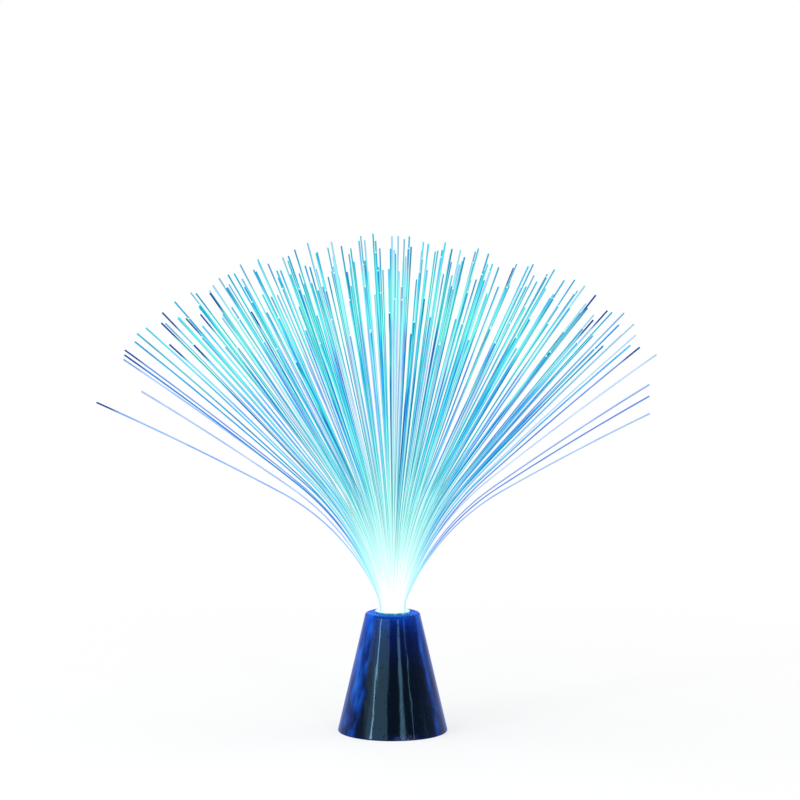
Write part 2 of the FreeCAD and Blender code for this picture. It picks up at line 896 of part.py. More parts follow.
def make_contacts():
    """Flat contacts on the tray's end walls, and a spring at each cell's flat end."""
    wire = number("sizes.contact_spring_wire")
    slack = number("sizes.coil_slack")
    wide = number("sizes.contact_width") / 2 - 1.5 * wire
    room = number("sizes.spring_room") - 2 * (wire + slack)
    springs = []
    for index, sign in enumerate(CELL_SIGNS):
        end_x = number("places.cavity_half_x - sizes.contact_thickness")
        spring = coil(2, wide, wide * 0.6, room, wire)
        turn = ALONG_X if sign > 0 else AGAINST_X
        spot = Vector(-sign * (end_x - wire - slack), number(cell_y(index)), number("places.cell_z"))
        spring.Placement = Placement(spot, turn)
        springs.append(spring)
    sub_part("contact_springs", shaped("contact_spring_set", Part.makeCompound(springs)))

    bridges = [contact("bridge", 1, 0, 1), contact("bridge", -1, 1, 2)]
    sub_part("contact_bridges", group("contact_bridge_set", bridges))
    for name, sign, cell in (("negative", -1, 0), ("positive", 1, 2)):
        pieces = [contact(f"{name}_plate", sign, cell, cell), solder_tab(f"{name}_tab", sign, cell)]
        sub_part(f"terminal_{name}", fuse(f"terminal_{name}", pieces))


# ---------------------------------------------------------------- push switch


def make_switch():
    at_switch = {"y": "places.switch_y"}
    socket_radius = "sizes.plunger_radius + sizes.pilot_gap"
    socket_floor = "places.button_bottom + sizes.button_face"
    chamfer = "sizes.button_radius - sizes.button_edge"
    cap = turned(
        "button_cap",
        [
            ("0", "places.button_bottom + sizes.button_dish"),
            (f"{chamfer} - sizes.button_land", "places.button_bottom"),
            (chamfer, "places.button_bottom"),
            ("sizes.button_radius", "places.button_bottom + sizes.button_edge"),
            ("sizes.button_radius", "places.flange_bottom"),
            ("places.flange_radius", "places.flange_bottom"),
            ("places.flange_radius", "places.flange_top"),
            (socket_radius, "places.flange_top"),
            (socket_radius, socket_floor),
            ("0", socket_floor),
        ],
    )
    sub_part("button_cap", place(cap, **at_switch))
    head_top = "places.plunger_head_z + sizes.plunger_head_thickness"
    guide_top = f"{head_top} + sizes.spring_guide_height"
    plunger = turned(
        "switch_plunger",
        [
            ("0", socket_floor),
            ("sizes.plunger_radius", socket_floor),
            ("sizes.plunger_radius", "places.plunger_head_z"),
            ("sizes.plunger_head", "places.plunger_head_z"),
            ("sizes.plunger_head", head_top),
            ("sizes.spring_guide_radius", head_top),
            ("sizes.spring_guide_radius", guide_top),
            ("0", guide_top),
        ],
    )
    sub_part("switch_plunger", place(plunger, **at_switch))
    switch = new_body("switch_body")
    sketch = new_sketch(switch, level="places.switch_bottom")
    half = "sizes.switch_side / 2"
    draw_rounded_box(sketch, "0", "0", half, half, "sizes.switch_corner")
    pad(switch, sketch, "sizes.switch_height")
    neck = "sizes.plunger_radius + sizes.collar_gap"
    floor = "places.switch_bottom + sizes.switch_wall"
    spin(
        switch,
        "Groove",
        [
            ("0", "places.switch_bottom - sizes.overrun"),
            (neck, "places.switch_bottom - sizes.overrun"),
            (neck, floor),
            ("sizes.switch_bore", floor),
            ("sizes.switch_bore", "places.spring_top"),
            ("0", "places.spring_top"),
        ],
    )
    sub_part("switch_body", place(switch, **at_switch))
    wire = number("sizes.spring_wire")
    slack = number("sizes.coil_slack")
    low = number(head_top) + wire + slack
    high = number("places.spring_top") - wire - slack
    coil_radius = number("sizes.plunger_head") - 2 * wire
    spring = coil(5, coil_radius, coil_radius, high - low, wire)
    spot = Placement(Vector(0, number("places.switch_y"), low), Rotation())
    sub_part("switch_spring", shaped("switch_spring", spring, spot))
    pins = [
        cylinder(
            "switch_pin",
            "sizes.switch_pin_radius",
            "sizes.switch_pin_height",
            f"{sign}sizes.switch_pin_spacing / 2",
            "places.switch_y",
            "places.switch_top",
        )
        for sign in ("-", "")
    ]
    sub_part("switch_pins", group("switch_pin_set", pins))


# ---------------------------------------------------------------- light head

LED_ANGLES = (90, 210, 330)


def led_spot(angle):
    return (f"sizes.led_circle * cos({angle})", f"sizes.led_circle * sin({angle})")


def led_pin_spots():
    """Each light-emitting diode stands on two pins, side by side along X."""
    spots = []
    for angle in LED_ANGLES:
        x, y = led_spot(angle)
        spots += [(f"{x} {sign} sizes.led_pin_spacing / 2", y) for sign in ("-", "+")]
    return spots


def make_leds():
    dome_z = "places.board_top + sizes.led_height - sizes.led_radius"
    pin_spots = led_pin_spots()
    for index, angle in enumerate(LED_ANGLES):
        x, y = led_spot(angle)
        flange = cylinder(
            "led_flange",
            "sizes.led_radius + sizes.led_flange",
            "sizes.led_flange_thickness",
            x,
            y,
            "places.board_top",
        )
        barrel = cylinder(
            "led_barrel",
            "sizes.led_radius",
            "sizes.led_height - sizes.led_radius",
            x,
            y,
            "places.board_top",
        )
        dome = doc.addObject("Part::Sphere", "led_dome")
        dome.Angle1 = 0.0
        bind(dome, Radius="sizes.led_radius")
        place(dome, x, y, dome_z)
        pins = [
            cylinder(
                "led_pin",
                "sizes.led_pin_radius",
                "sizes.board_thickness + sizes.led_pin_stub + sizes.led_flange_thickness / 2",
                pin_x,
                pin_y,
                "places.board_bottom - sizes.led_pin_stub",
            )
            for pin_x, pin_y in pin_spots[2 * index : 2 * index + 2]
        ]
        sub_part(f"led_{index + 1}", fuse(f"led_{index + 1}", [flange, barrel, dome] + pins))


def board_screw_spots():
    return [("-places.board_screw_circle", "0"), ("places.board_screw_circle", "0")]


def make_board():
    board = new_body("led_board")
    sketch = new_sketch(board, level="places.board_bottom")
    draw_circle(sketch, "places.cup_radius")
    for x, y in board_screw_spots():
        draw_circle(sketch, "sizes.board_screw_radius + sizes.hole_gap / 2", x, y)
    for x, y in led_pin_spots():
        draw_circle(sketch, "sizes.led_pin_radius + sizes.collar_gap", x, y)
    pad(board, sketch, "sizes.board_thickness")
    sub_part("led_board", board)
    screws = [
        make_screw(
            "board_screw",
            "sizes.board_screw_radius",
            "sizes.board_screw_length",
            x,
            y,
            "places.board_bottom",
        )
        for x, y in board_screw_spots()
    ]
    sub_part("board_screws", group("board_screw_set", screws))


def make_resistor():
    """A barrel that hangs under the board on two bent legs."""
    y = "-sizes.led_circle * 1.5"
    z = "places.board_bottom - sizes.resistor_radius - sizes.resistor_stand_off"
    half = "sizes.resistor_length / 2"
    reach = f"{half} + sizes.resistor_leg_out"
    leg = "sizes.resistor_leg_radius"
    barrel = cylinder(
        "resistor_barrel", "sizes.resistor_radius", "sizes.resistor_length", f"-({half})", y, z, ALONG_X
    )
    pieces = [barrel]
    for sign in ("-", ""):
        cap = cylinder(
            "resistor_cap",
            "sizes.resistor_radius + sizes.resistor_cap_swell",
            "sizes.resistor_length / 5",
            f"{sign}({half}) - sizes.resistor_length / 10",
            y,
            z,
            ALONG_X,
        )
        elbow = doc.addObject("Part::Sphere", "resistor_elbow")
        bind(elbow, Radius=leg)
        place(elbow, f"{sign}({reach})", y, z)
        post = cylinder(
            "resistor_post", leg, f"places.board_bottom - ({z})", f"{sign}({reach})", y, z
        )
        pieces += [cap, elbow, post]
    pieces.append(cylinder("resistor_wire", leg, f"2 * ({reach})", f"-({reach})", y, z, ALONG_X))
    sub_part("resistor", fuse("resistor_parts", pieces))


def make_cup_and_collar():
    cup = turned(
        "cup",
        [
            ("places.cup_light", "places.board_top"),
            ("places.cup_radius", "places.board_top"),
            ("places.cup_radius", "places.cup_top"),
            ("places.cup_bore", "places.cup_top"),
            ("places.cup_bore", "places.cup_step"),
            ("places.cup_light", "places.cup_step"),
        ],
    )
    sketch = new_sketch(cup, level="places.board_top")
    for x, y in board_screw_spots():
        draw_circle(sketch, "sizes.board_screw_radius + sizes.pilot_gap", x, y)
    pocket(cup, sketch, "sizes.board_screw_length")
    sub_part("light_cup", cup)
    collar = turned(
        "collar",
        [
            ("places.collar_bore", "places.collar_bottom"),
            ("places.collar_tube", "places.collar_bottom"),
            ("places.collar_tube", "sizes.housing_height"),
            ("sizes.collar_radius", "sizes.housing_height"),
            ("sizes.collar_radius", "places.collar_top - sizes.collar_edge"),
            ("sizes.collar_radius - sizes.collar_edge", "places.collar_top"),
            ("places.lip_radius", "places.collar_top"),
            ("places.lip_radius", "places.lip_bottom"),
            ("places.collar_bore", "places.lip_bottom"),
        ],
    )
    sub_part("fibre_collar", collar)
    ferrule = turned(
        "ferrule",
        tube_corners(
            "places.ferrule_bore", "places.ferrule_radius", "places.bundle_bottom", "places.ferrule_top"
        ),
    )
    sub_part("fibre_ferrule", ferrule)


# ---------------------------------------------------------------- leads


def route_wire(points):
    """Straight runs joined by tangent arcs, each as large as its two runs allow."""
    edges = []
    start = points[0]
    for before, corner, after in zip(points, points[1:], points[2:]):
        run_in, run_out = corner - before, after - corner
        half_turn = run_in.getAngle(run_out) / 2
        reach = 0.45 * min(run_in.Length, run_out.Length)
        into, out = Vector(run_in).normalize(), Vector(run_out).normalize()
        arc_start, arc_end = corner - into * reach, corner + out * reach
        radius = reach / math.tan(half_turn)
        to_centre = (out - into).normalize()
        centre = corner + to_centre * (radius / math.cos(half_turn))
        arc_middle = centre - to_centre * radius
        edges.append(Part.LineSegment(start, arc_start).toShape())
        edges.append(Part.Arc(arc_start, arc_middle, arc_end).toShape())
        start = arc_end
        print("lead bend radius", round(radius, 2))
    edges.append(Part.LineSegment(start, points[-1]).toShape())
    return Part.Wire(edges)


def make_lead(name, points):
    """An insulated lead swept along its route; the volume proves the sweep."""
    radius = number("sizes.lead_radius")
    wire = route_wire(points)
    section = Part.Circle(points[0], points[1] - points[0], radius).toShape()
    solid = wire.makePipe(Part.Face(Part.Wire([section])))
    expected = math.pi * radius**2 * wire.Length
    if abs(solid.Volume - expected) > 0.01 * expected:
        raise ValueError("the sweep of " + name + " has the wrong volume")
    sub_part(name, shaped(name, solid))


def make_leads():
    tab_x = number("places.contact_x")
    tab_z = number("places.tab_top")
    negative = Vector(-tab_x, number(cell_y(0)), tab_z)
    positive = Vector(tab_x, number(cell_y(2)), tab_z)
    pin_z = number("places.switch_top + sizes.switch_pin_height")
    pin_x = number("sizes.switch_pin_spacing / 2")
    switch_y = number("places.switch_y")
    board_z = number("places.board_bottom")
    pad_x = number("sizes.led_circle * 2")
    first_pin, second_pin = Vector(-pin_x, switch_y, pin_z), Vector(pin_x, switch_y, pin_z)
    plus_pad, minus_pad = Vector(pad_x, 3, board_z), Vector(0, pad_x, board_z)
    up = Vector(0, 0, 1)
    make_lead(
        "lead_positive",
        [
            positive,
            positive + up * 7,
            Vector(16, 8, tab_z + 9),
            plus_pad - up * 8,
            plus_pad,
        ],
    )
    make_lead(
        "lead_negative",
        [
            negative,
            negative + up * 5,
            Vector(-20, 4, tab_z + 7),
            Vector(-12, 18, tab_z + 8),
            first_pin + up * 6,
            first_pin,
        ],
    )
    make_lead(
        "lead_switch",
        [
            second_pin,
            second_pin + up * 6,
            Vector(3, 15, pin_z + 7),
            minus_pad - up * 7,
            minus_pad,
        ],
    )


# ---------------------------------------------------------------- spray of fibres

SECTORS = 8
FIRST_SECTOR_ANGLE = -22.5
SMALLEST_LEAN = 1.0

# A few outermost fibres stray from the rest. For each: its direction from the middle of
# the bundle and its lean, in degrees, and its share of the full length.
STRAYS = [
    (5.8, 64.8, 0.862),
    (-5.8, 59.8, 0.892),
    (-12.2, 57.3, 0.924),
    (17.5, 58.9, 1.004),
    (174.2, 66.7, 0.968),
    (-174.2, 58.2, 0.888),
    (168.0, 55.5, 0.994),
    (-168.0, 53.8, 0.996),
    (161.5, 59.5, 1.0),
    (-161.5, 51.1, 1.032),
]


def lattice():
    """The fibres' places in the bundle: a triangular lattice inside a circle."""
    pitch = number("places.fibre_pitch")
    limit = number("sizes.bundle_radius")
    rows = int(limit / (pitch * math.sin(math.pi / 3))) + 1
    columns = int(limit / pitch) + rows
    for row in range(-rows, rows + 1):
        for column in range(-columns, columns + 1):
            x = pitch * (column + row / 2)
            y = pitch * row * math.sin(math.pi / 3)
            if math.hypot(x, y) <= limit:
                yield x, y


def pick_strays(spots, limit):
    """For each stray, the fibre nearest the bundle's rim in its direction."""
    strays = {}
    for direction, lean, share in STRAYS:
        toward = math.radians(direction)
        rim = (limit * math.cos(toward), limit * math.sin(toward))
        free = [spot for spot in spots if spot not in strays]
        nearest = min(free, key=lambda spot: math.dist(spot, rim))
        strays[nearest] = (math.radians(lean), share)
    return strays


def fibre_path(x, y, azimuth, lean, length):
    """Up the bundle, round the neck, out in a long curve and on to the tip."""
    outward = Vector(math.cos(azimuth), math.sin(azimuth), 0)
    neck_turn = number("sizes.neck_share") * lean
    spread_turn = number("sizes.spread_share") * lean
    neck_length = number("sizes.neck_bend") * neck_turn
    spread_length = number("sizes.spread_length")
    last_length = length - neck_length - spread_length
    spot = Vector(x, y, number("places.bundle_bottom"))
    neck = Vector(x, y, number("places.neck"))
    edges = [Part.LineSegment(spot, neck).toShape()]
    spot, angle = neck, 0.0
    for turn, run in (
        (neck_turn, neck_length),
        (spread_turn, spread_length),
        (lean - neck_turn - spread_turn, last_length),
    ):
        radius = run / turn

        def after(share):
            reached = angle + turn * share
            out = radius * (math.cos(angle) - math.cos(reached))
            rise = radius * (math.sin(reached) - math.sin(angle))
            return spot + outward * out + Vector(0, 0, rise)

        middle, end = after(0.5), after(1.0)
        edges.append(Part.Arc(spot, middle, end).toShape())
        spot, angle = end, angle + turn
    return Part.Wire(edges)


def make_fibres():
    """Every fibre leans away from the middle; the cut ends lie on a rough dome."""
    scatter = random.Random(11)
    limit = number("sizes.bundle_radius")
    sideways = math.radians(number("sizes.lean_sideways"))
    depth = math.radians(number("sizes.lean_depth"))
    lean_scatter = math.radians(number("sizes.lean_scatter"))
    turn_scatter = math.radians(number("sizes.turn_scatter"))
    reach = number("sizes.fibre_reach")
    trim = number("sizes.fibre_trim")
    radius = number("sizes.fibre_radius")
    sectors = [[] for _ in range(SECTORS)]
    spots = list(lattice())
    strays = pick_strays(spots, limit)
    for x, y in spots:
        share = math.hypot(x, y) / limit
        around = math.atan2(y, x)
        widest = math.hypot(sideways * math.cos(around), depth * math.sin(around))
        lean = math.acos(1 - (1 - math.cos(widest)) * share**2)
        lean += scatter.uniform(-lean_scatter, lean_scatter)
        azimuth = around + scatter.uniform(-turn_scatter, turn_scatter)
        length = reach * (1 - trim * scatter.uniform(0, 1) ** 2)
        if (x, y) in strays:
            lean, length_share = strays[x, y]
            length = reach * length_share
        path = fibre_path(x, y, azimuth, max(lean, math.radians(SMALLEST_LEAN)), length)
        start = path.Vertexes[0].Point
        section = Part.Circle(start, Vector(0, 0, 1), radius).toShape()
        fibre = path.makePipe(Part.Face(Part.Wire([section])))
        turned_by = math.degrees(around) - FIRST_SECTOR_ANGLE
        sectors[int(turned_by // (360 / SECTORS)) % SECTORS].append(fibre)
    for index, fibres in enumerate(sectors, start=1):
        name = f"fibres_sector_{index}"
        sub_part(name, shaped(name, Part.makeCompound(fibres)))


# ---------------------------------------------------------------- build, check and write

make_housing()
make_base_plate()
make_door()
make_plate_screws()
make_cells()
make_contacts()
make_switch()
make_leds()
make_board()
make_resistor()
make_cup_and_collar()
make_leads()
make_fibres()
doc.recompute()

for thing in doc.Objects:
    faults = [state for state in thing.State if state in ("Invalid", "Error")]
    if faults:
        raise ValueError(f"{thing.Name} failed: {faults}")
for label, thing in sub_parts.items():
    if thing.Shape.isNull() or not thing.Shape.isValid() or not thing.Shape.Solids:
        raise ValueError(label + " has no valid shape")

os.makedirs("parts", exist_ok=True)
for label, thing in sub_parts.items():
    thing.Shape.exportStep(os.path.join("parts", label + ".step"))
    print(label, len(thing.Shape.Solids), "solids", round(thing.Shape.Volume, 1), "mm3")
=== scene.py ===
"""The looks of a fibre optic table lamp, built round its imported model. Metres, +Z up."""
import math
import random
from collections import namedtuple

import bpy
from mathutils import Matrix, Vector


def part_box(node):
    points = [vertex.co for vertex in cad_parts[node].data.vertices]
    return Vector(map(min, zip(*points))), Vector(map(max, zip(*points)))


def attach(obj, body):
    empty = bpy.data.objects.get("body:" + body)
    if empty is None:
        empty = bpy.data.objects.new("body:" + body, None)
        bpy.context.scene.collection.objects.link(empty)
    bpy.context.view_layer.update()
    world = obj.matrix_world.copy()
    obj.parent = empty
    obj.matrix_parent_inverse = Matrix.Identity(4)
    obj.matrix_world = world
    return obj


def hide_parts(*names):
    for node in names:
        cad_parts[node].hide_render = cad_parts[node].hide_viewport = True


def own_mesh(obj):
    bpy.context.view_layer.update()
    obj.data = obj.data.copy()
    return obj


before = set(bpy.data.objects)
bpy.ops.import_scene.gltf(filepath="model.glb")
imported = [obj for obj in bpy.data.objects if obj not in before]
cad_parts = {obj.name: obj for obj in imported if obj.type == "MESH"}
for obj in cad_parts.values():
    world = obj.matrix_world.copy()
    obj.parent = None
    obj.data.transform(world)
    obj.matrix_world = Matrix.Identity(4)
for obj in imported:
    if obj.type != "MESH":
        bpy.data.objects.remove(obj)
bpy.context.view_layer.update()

MM = 0.001

# ---------------------------------------------------------------- camera

# The camera looks along +Y and a little down, from so far away that the cone's foot and the
# collar are seen at nearly the same slant. The lens and the sensor are in millimetres.
CAMERA_DISTANCE = 3.0
CAMERA_HEIGHT = 0.6213
LOOK_AT = Vector((0.0048, 0.0, 0.218))
LENS = 210.2
SENSOR = 36.0
VIEW_END = 100.0


def aim(thing, target):
    """Turn an object's own -Z axis to a point."""
    thing.rotation_euler = (target - thing.location).to_track_quat("-Z", "Y").to_euler()


def make_camera():
    """The camera, at the photograph's viewing angle."""
    data = bpy.data.cameras.new("camera")
    data.lens = LENS
    data.sensor_width = SENSOR
    data.clip_end = VIEW_END
    camera = bpy.data.objects.new("camera", data)
    camera.location = (LOOK_AT.x, -CAMERA_DISTANCE, CAMERA_HEIGHT)
    aim(camera, LOOK_AT)
    bpy.context.scene.collection.objects.link(camera)
    bpy.context.scene.camera = camera


# ---------------------------------------------------------------- node helpers

BLACK = (0.0, 0.0, 0.0)
WHITE = (1.0, 1.0, 1.0)
EVEN = (1.0, 1.0, 1.0)
# Most of what a noise texture puts out lies in this range.
NOISE_RANGE = (0.3, 0.7)
# Which sockets of a Mix node are those for colours, and which output of a brick texture is its
# mask.
MIX_FACTOR, MIX_FIRST, MIX_SECOND = 0, 6, 7
MIX_RESULT = 2
BRICK_MASK = 1


def linear(channel):
    """One channel of an sRGB colour made linear, by the standard's own formula."""
    return ((channel + 0.055) / 1.055) ** 2.4 if channel > 0.04045 else channel / 12.92


def display(red, green, blue):
    """A colour as it looks on a screen, turned into the linear one that shaders take."""
    return tuple(linear(channel) for channel in (red, green, blue))


class Nodes:
    """A node tree, and short ways to add nodes to it."""

    def __init__(self, tree):
        self.tree = tree

    def feed(self, socket, value):
        """Give a socket a plain value, or what a node puts out."""
        if isinstance(value, bpy.types.NodeSocket):
            self.tree.links.new(value, socket)
        elif socket.type == "RGBA":
            socket.default_value = (*value, 1.0)
        else:
            socket.default_value = value

    def node(self, kind, output=0, inputs=(), **settings):
        """Add a node and return one of its outputs; inputs pairs sockets with values."""
        made = self.tree.nodes.new("ShaderNode" + kind)
        for name, value in settings.items():
            setattr(made, name, value)
        for socket, value in inputs:
            self.feed(made.inputs[socket], value)
        return made.outputs[output]

    def math(self, operation, *numbers):
        """One Math node."""
        return self.node("Math", 0, enumerate(numbers), operation=operation)

    def between(self, value, source, target=(0.0, 1.0), **settings):
        """A value carried from one range to another and kept inside it."""
        inputs = [("Value", value), *enumerate((*source, *target), start=1)]
        return self.node("MapRange", 0, inputs, **settings)

    def length(self, vector):
        """How long a vector is."""
        return self.node("VectorMath", "Value", [(0, vector)], operation="LENGTH")

    def seen_directly(self):
        """1 for the rays that look at the background, in the camera, a mirror or glass."""
        path = self.node("LightPath").node
        share = path.outputs["Is Camera Ray"]
        for name in ("Is Glossy Ray", "Is Transmission Ray"):
            share = self.math("MAXIMUM", share, path.outputs[name])
        return share

    def surface(self, kind, share, first, second):
        """Add the output node of this kind, and give it two shaders mixed."""
        mixed = self.node("MixShader", 0, [(0, share), (1, first), (2, second)])
        self.feed(self.tree.nodes.new("ShaderNodeOutput" + kind).inputs["Surface"], mixed)


class Finish(Nodes):
    """One material: its Principled shader, and the nodes that feed it."""

    def __init__(self, name, **sockets):
        self.material = bpy.data.materials.new(name)
        self.material.use_nodes = True
        super().__init__(self.material.node_tree)
        self.shader = self.tree.nodes["Principled BSDF"]
        for socket, value in sockets.items():
            self.set(socket.replace("_", " "), value)

    def set(self, socket, value):
        """Give one of the shader's sockets a plain value, or what a node puts out."""
        self.feed(self.shader.inputs[socket], value)

    def emit(self, colour, strength, sampling="NONE"):
        """Light from the surface; sampling is whether the renderer aims at it as at a lamp."""
        self.material.cycles.emission_sampling = sampling
        self.set("Emission Color", colour)
        self.set("Emission Strength", strength)

    def place(self):
        """The object's own coordinates."""
        return self.node("TexCoord", "Object")

    def axes(self):
        """The same coordinates one by one, as outputs X, Y and Z."""
        return self.node("SeparateXYZ", 0, [("Vector", self.place())]).node.outputs

    def attribute(self, name):
        """A number that each corner of the mesh has."""
        return self.node("Attribute", "Fac", attribute_name=name)

    def noise(self, size, detail=3.0, stretch=EVEN, vector=None):
        """Noise whose lumps are about this size, in metres, and longer where stretch is low."""
        spot = vector or self.node("Mapping", 0, [("Vector", self.place()), ("Scale", stretch)])
        inputs = [("Vector", spot), ("Scale", 1.0 / size), ("Detail", detail)]
        return self.node("TexNoise", 0, inputs)

    def varied(self, noise, low=0.0, high=1.0):
        """Noise spread over a range of values."""
        return self.between(noise, NOISE_RANGE, (low, high))

    def ramp(self, factor, stops, interpolation="LINEAR"):
        """Colours at stops of a factor; a single number is a grey."""
        output = self.node("ValToRGB", 0, [("Fac", factor)])
        ramp = output.node.color_ramp
        ramp.interpolation = interpolation
        while len(ramp.elements) < len(stops):
            ramp.elements.new(0.5)
        for element, (position, colour) in zip(ramp.elements, stops):
            element.position = position
            red, green, blue = colour if isinstance(colour, tuple) else (colour,) * 3
            element.color = (red, green, blue, 1.0)
        return output

    def mix(self, factor, first, second, blend="MIX"):
        """Two colours mixed. The Mix node's colour sockets are told apart by number only."""
        inputs = [(MIX_FACTOR, factor), (MIX_FIRST, first), (MIX_SECOND, second)]
        return self.node("Mix", MIX_RESULT, inputs, data_type="RGBA", blend_type=blend)

    def scaled(self, colour, factor):
        """A colour times a number."""
        return self.node("VectorMath", 0, [(0, colour), ("Scale", factor)], operation="SCALE")

    def bump(self, height, depth):
        """Bumps this deep, in metres."""
        self.set("Normal", self.node("Bump", 0, [("Height", height), ("Distance", depth)]))


# ---------------------------------------------------------------- the housing

HOUSING_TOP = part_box("housing_cone")[1].z

HOUSING_GLOSS = {
    "Specular IOR Level": 0.1,
    "Specular Tint": (0.3, 0.68, 1.0),
    "Sheen Weight": 0.9,
    "Sheen Roughness": 0.35,
    "Sheen Tint": (0.0, 0.16, 1.0),
}

# Painted blue light round the housing, in lobes that are strongest at its front left and front
# right: shares of a turn from the front by way of the left side, the back and the right side,
# and a level at each.
PAINTED_LIGHT_LOBES = [
    (0.0, 0.0),
    (0.07, 0.05),
    (0.1, 0.45),
    (0.125, 0.85),
    (0.16, 1.0),
    (0.2, 0.8),
    (0.25, 0.6),
    (0.32, 0.1),
    (0.39, 0.6),
    (0.46, 0.1),
    (0.56, 0.1),
    (0.63, 0.6),
    (0.7, 0.15),
    (0.76, 0.9),
    (0.81, 0.6),
    (0.84, 1.0),
    (0.865, 0.3),
    (0.89, 0.0),
]

# How much the lobes of painted light and the marbling's noise add, what the sum starts from, and
# what it loses at the foot, between these two heights.
PAINTED_LIGHT_SHARE = 0.32
DRAWN_SHARE = 0.62
MARBLING_AND_LIGHT_BASE = -0.05
MARBLING_AND_LIGHT_AT_FOOT = -0.09
FOOT_HEIGHTS = (0.006, 0.034)

# From black to royal blue as the marbling and the painted light rise.
MARBLING_AND_LIGHT_COLOURS = [
    (0.38, (0.0002, 0.0005, 0.002)),
    (0.47, (0.0006, 0.01, 0.08)),
    (0.59, (0.002, 0.05, 0.3)),
    (0.76, (0.014, 0.12, 0.5)),
]

# The pale scuffs on the rim: their middle, in radians to the right of the front, how far from
# it they end and are full, the heights at which they end and are full, and the levels of their
# noise at which a scratch starts and is full.
SCUFF_TURN = 0.26
SCUFF_REACH = (0.26, 0.1)
SCUFF_HEIGHTS = (0.0042, 0.0008)
SCUFF_EDGE = (0.54, 0.64)
SCUFF_COLOUR = display(0.5, 0.52, 0.8)
SCUFF_ROUGHNESS = 0.5

# The shoulder turns matt between these depths under the top, in metres. Elsewhere the gloss's
# roughness lies between the two of HAZE.
BROW_DEPTHS = (0.002, 0.0003)
BROW_ROUGHNESS = 0.6
HAZE = (0.06, 0.14)

# Nicks in the gloss: the levels of their noise at which one starts and is full, and how deep
# they are beside the waves in the wall.
NICK_EDGE = (0.68, 0.72)
NICK_DEPTH = 0.5

# The collar's light in the wall, at shares of the height: a little at the foot, most at the top.
HOUSING_GLOW = [
    (0.0, (0.0, 0.004, 0.04)),
    (0.06, (0.0, 0.0, 0.0015)),
    (0.55, (0.0, 0.0, 0.002)),
    (0.85, (0.0, 0.003, 0.07)),
    (0.965, (0.0, 0.022, 0.24)),
    (0.985, (0.0, 0.045, 0.34)),
    (1.0, (0.0, 0.04, 0.3)),
]
# How weak and how strong that light is from place to place.
GLOW_LUMPS = (0.55, 1.3)


def housing_marbling_and_painted_light(finish, turn, height):
    """Marbling noise drawn out along the wall, with painted blue light added in the lobes, and less
    at the foot.
    """
    drawn = finish.noise(size=0.005, detail=5.0, stretch=(1.0, 1.0, 0.24))
    # Painted blue light, in lobes round the housing that are strongest at its front left and front
    # right.
    painted_lobes = finish.ramp(finish.between(turn, (-math.pi, math.pi)), PAINTED_LIGHT_LOBES, "EASE")
    base = finish.math("MULTIPLY_ADD", drawn, DRAWN_SHARE, MARBLING_AND_LIGHT_BASE)
    marbling_and_light = finish.math("MULTIPLY_ADD", painted_lobes, PAINTED_LIGHT_SHARE, base)
    foot = finish.between(height, FOOT_HEIGHTS, (MARBLING_AND_LIGHT_AT_FOOT, 0.0))
    return finish.math("ADD", marbling_and_light, foot)


def housing_scuffs(finish, turn, height):
    """1 in the scratches at the foot of the front, 0 elsewhere."""
    aside = finish.math("ABSOLUTE", finish.math("ADD", turn, SCUFF_TURN - math.pi))
    front = finish.between(aside, SCUFF_REACH)
    foot = finish.math("MULTIPLY", finish.between(height, SCUFF_HEIGHTS), front)
    scratches = finish.noise(size=0.0009, detail=6.0, stretch=(1.0, 1.0, 3.0))
    return finish.math("MULTIPLY", foot, finish.between(scratches, SCUFF_EDGE))


def housing_finish():
    """Glossy near-black plastic, marbled with royal blue, with painted blue light at its sides and
    a painted glow towards the top.
    """
    finish = Finish("housing_gloss", **HOUSING_GLOSS)
    x, y, height = finish.axes()
    turn = finish.math("ARCTAN2", x, y)
    # The body colour is the marbling with the painted blue light of the lobes added to it.
    body = finish.ramp(housing_marbling_and_painted_light(finish, turn, height), MARBLING_AND_LIGHT_COLOURS)
    scuffs = housing_scuffs(finish, turn, height)
    finish.set("Base Color", finish.mix(scuffs, body, SCUFF_COLOUR))
    haze = finish.between(finish.noise(size=0.02), (0.35, 0.75), HAZE)
    brow_heights = [HOUSING_TOP - depth for depth in BROW_DEPTHS]
    brow = finish.between(height, brow_heights, (0.0, BROW_ROUGHNESS))
    worn = finish.math("MAXIMUM", finish.math("MULTIPLY", scuffs, SCUFF_ROUGHNESS), brow)
    finish.set("Roughness", finish.math("MAXIMUM", haze, worn))
    glow = finish.ramp(finish.between(height, (0.0, HOUSING_TOP)), HOUSING_GLOW)
    lumps = finish.between(finish.noise(size=0.0045), (0.35, 0.7), GLOW_LUMPS)
    finish.emit(finish.scaled(glow, lumps), 1.0, sampling="AUTO")
    waves = finish.noise(size=0.011, detail=2.0, stretch=(1.0, 1.0, 0.3))
    nicks = finish.noise(size=0.0016, detail=2.0, stretch=(1.0, 1.0, 0.5))
    nicks = finish.math("MULTIPLY", finish.between(nicks, NICK_EDGE), NICK_DEPTH)
    finish.bump(finish.math("SUBTRACT", waves, nicks), depth=0.3 * MM)
    return finish


# ---------------------------------------------------------------- other plastics and metals

# How far the roughness of moulded plastic and of metal goes below and above its middle.
MOULDED_ROUGHNESS = (-0.06, 0.08)
METAL_ROUGHNESS = (-0.07, 0.1)


def roughness_range(middle, spread):
    """The least and the most roughness of a material."""
    return [middle + aside for aside in spread]


def moulded_finish(name, colour, shade, roughness, grain=0.5 * MM):
    """Satin moulded plastic with the fine grain of an etched mould."""
    finish = Finish(name)
    mottle = finish.noise(size=0.012, detail=4.0)
    finish.set("Base Color", finish.mix(finish.varied(mottle), colour, shade))
    rough = finish.varied(finish.noise(size=0.004), *roughness_range(roughness, MOULDED_ROUGHNESS))
    finish.set("Roughness", rough)
    finish.bump(finish.noise(size=grain, detail=2.0), depth=0.03 * MM)
    return finish


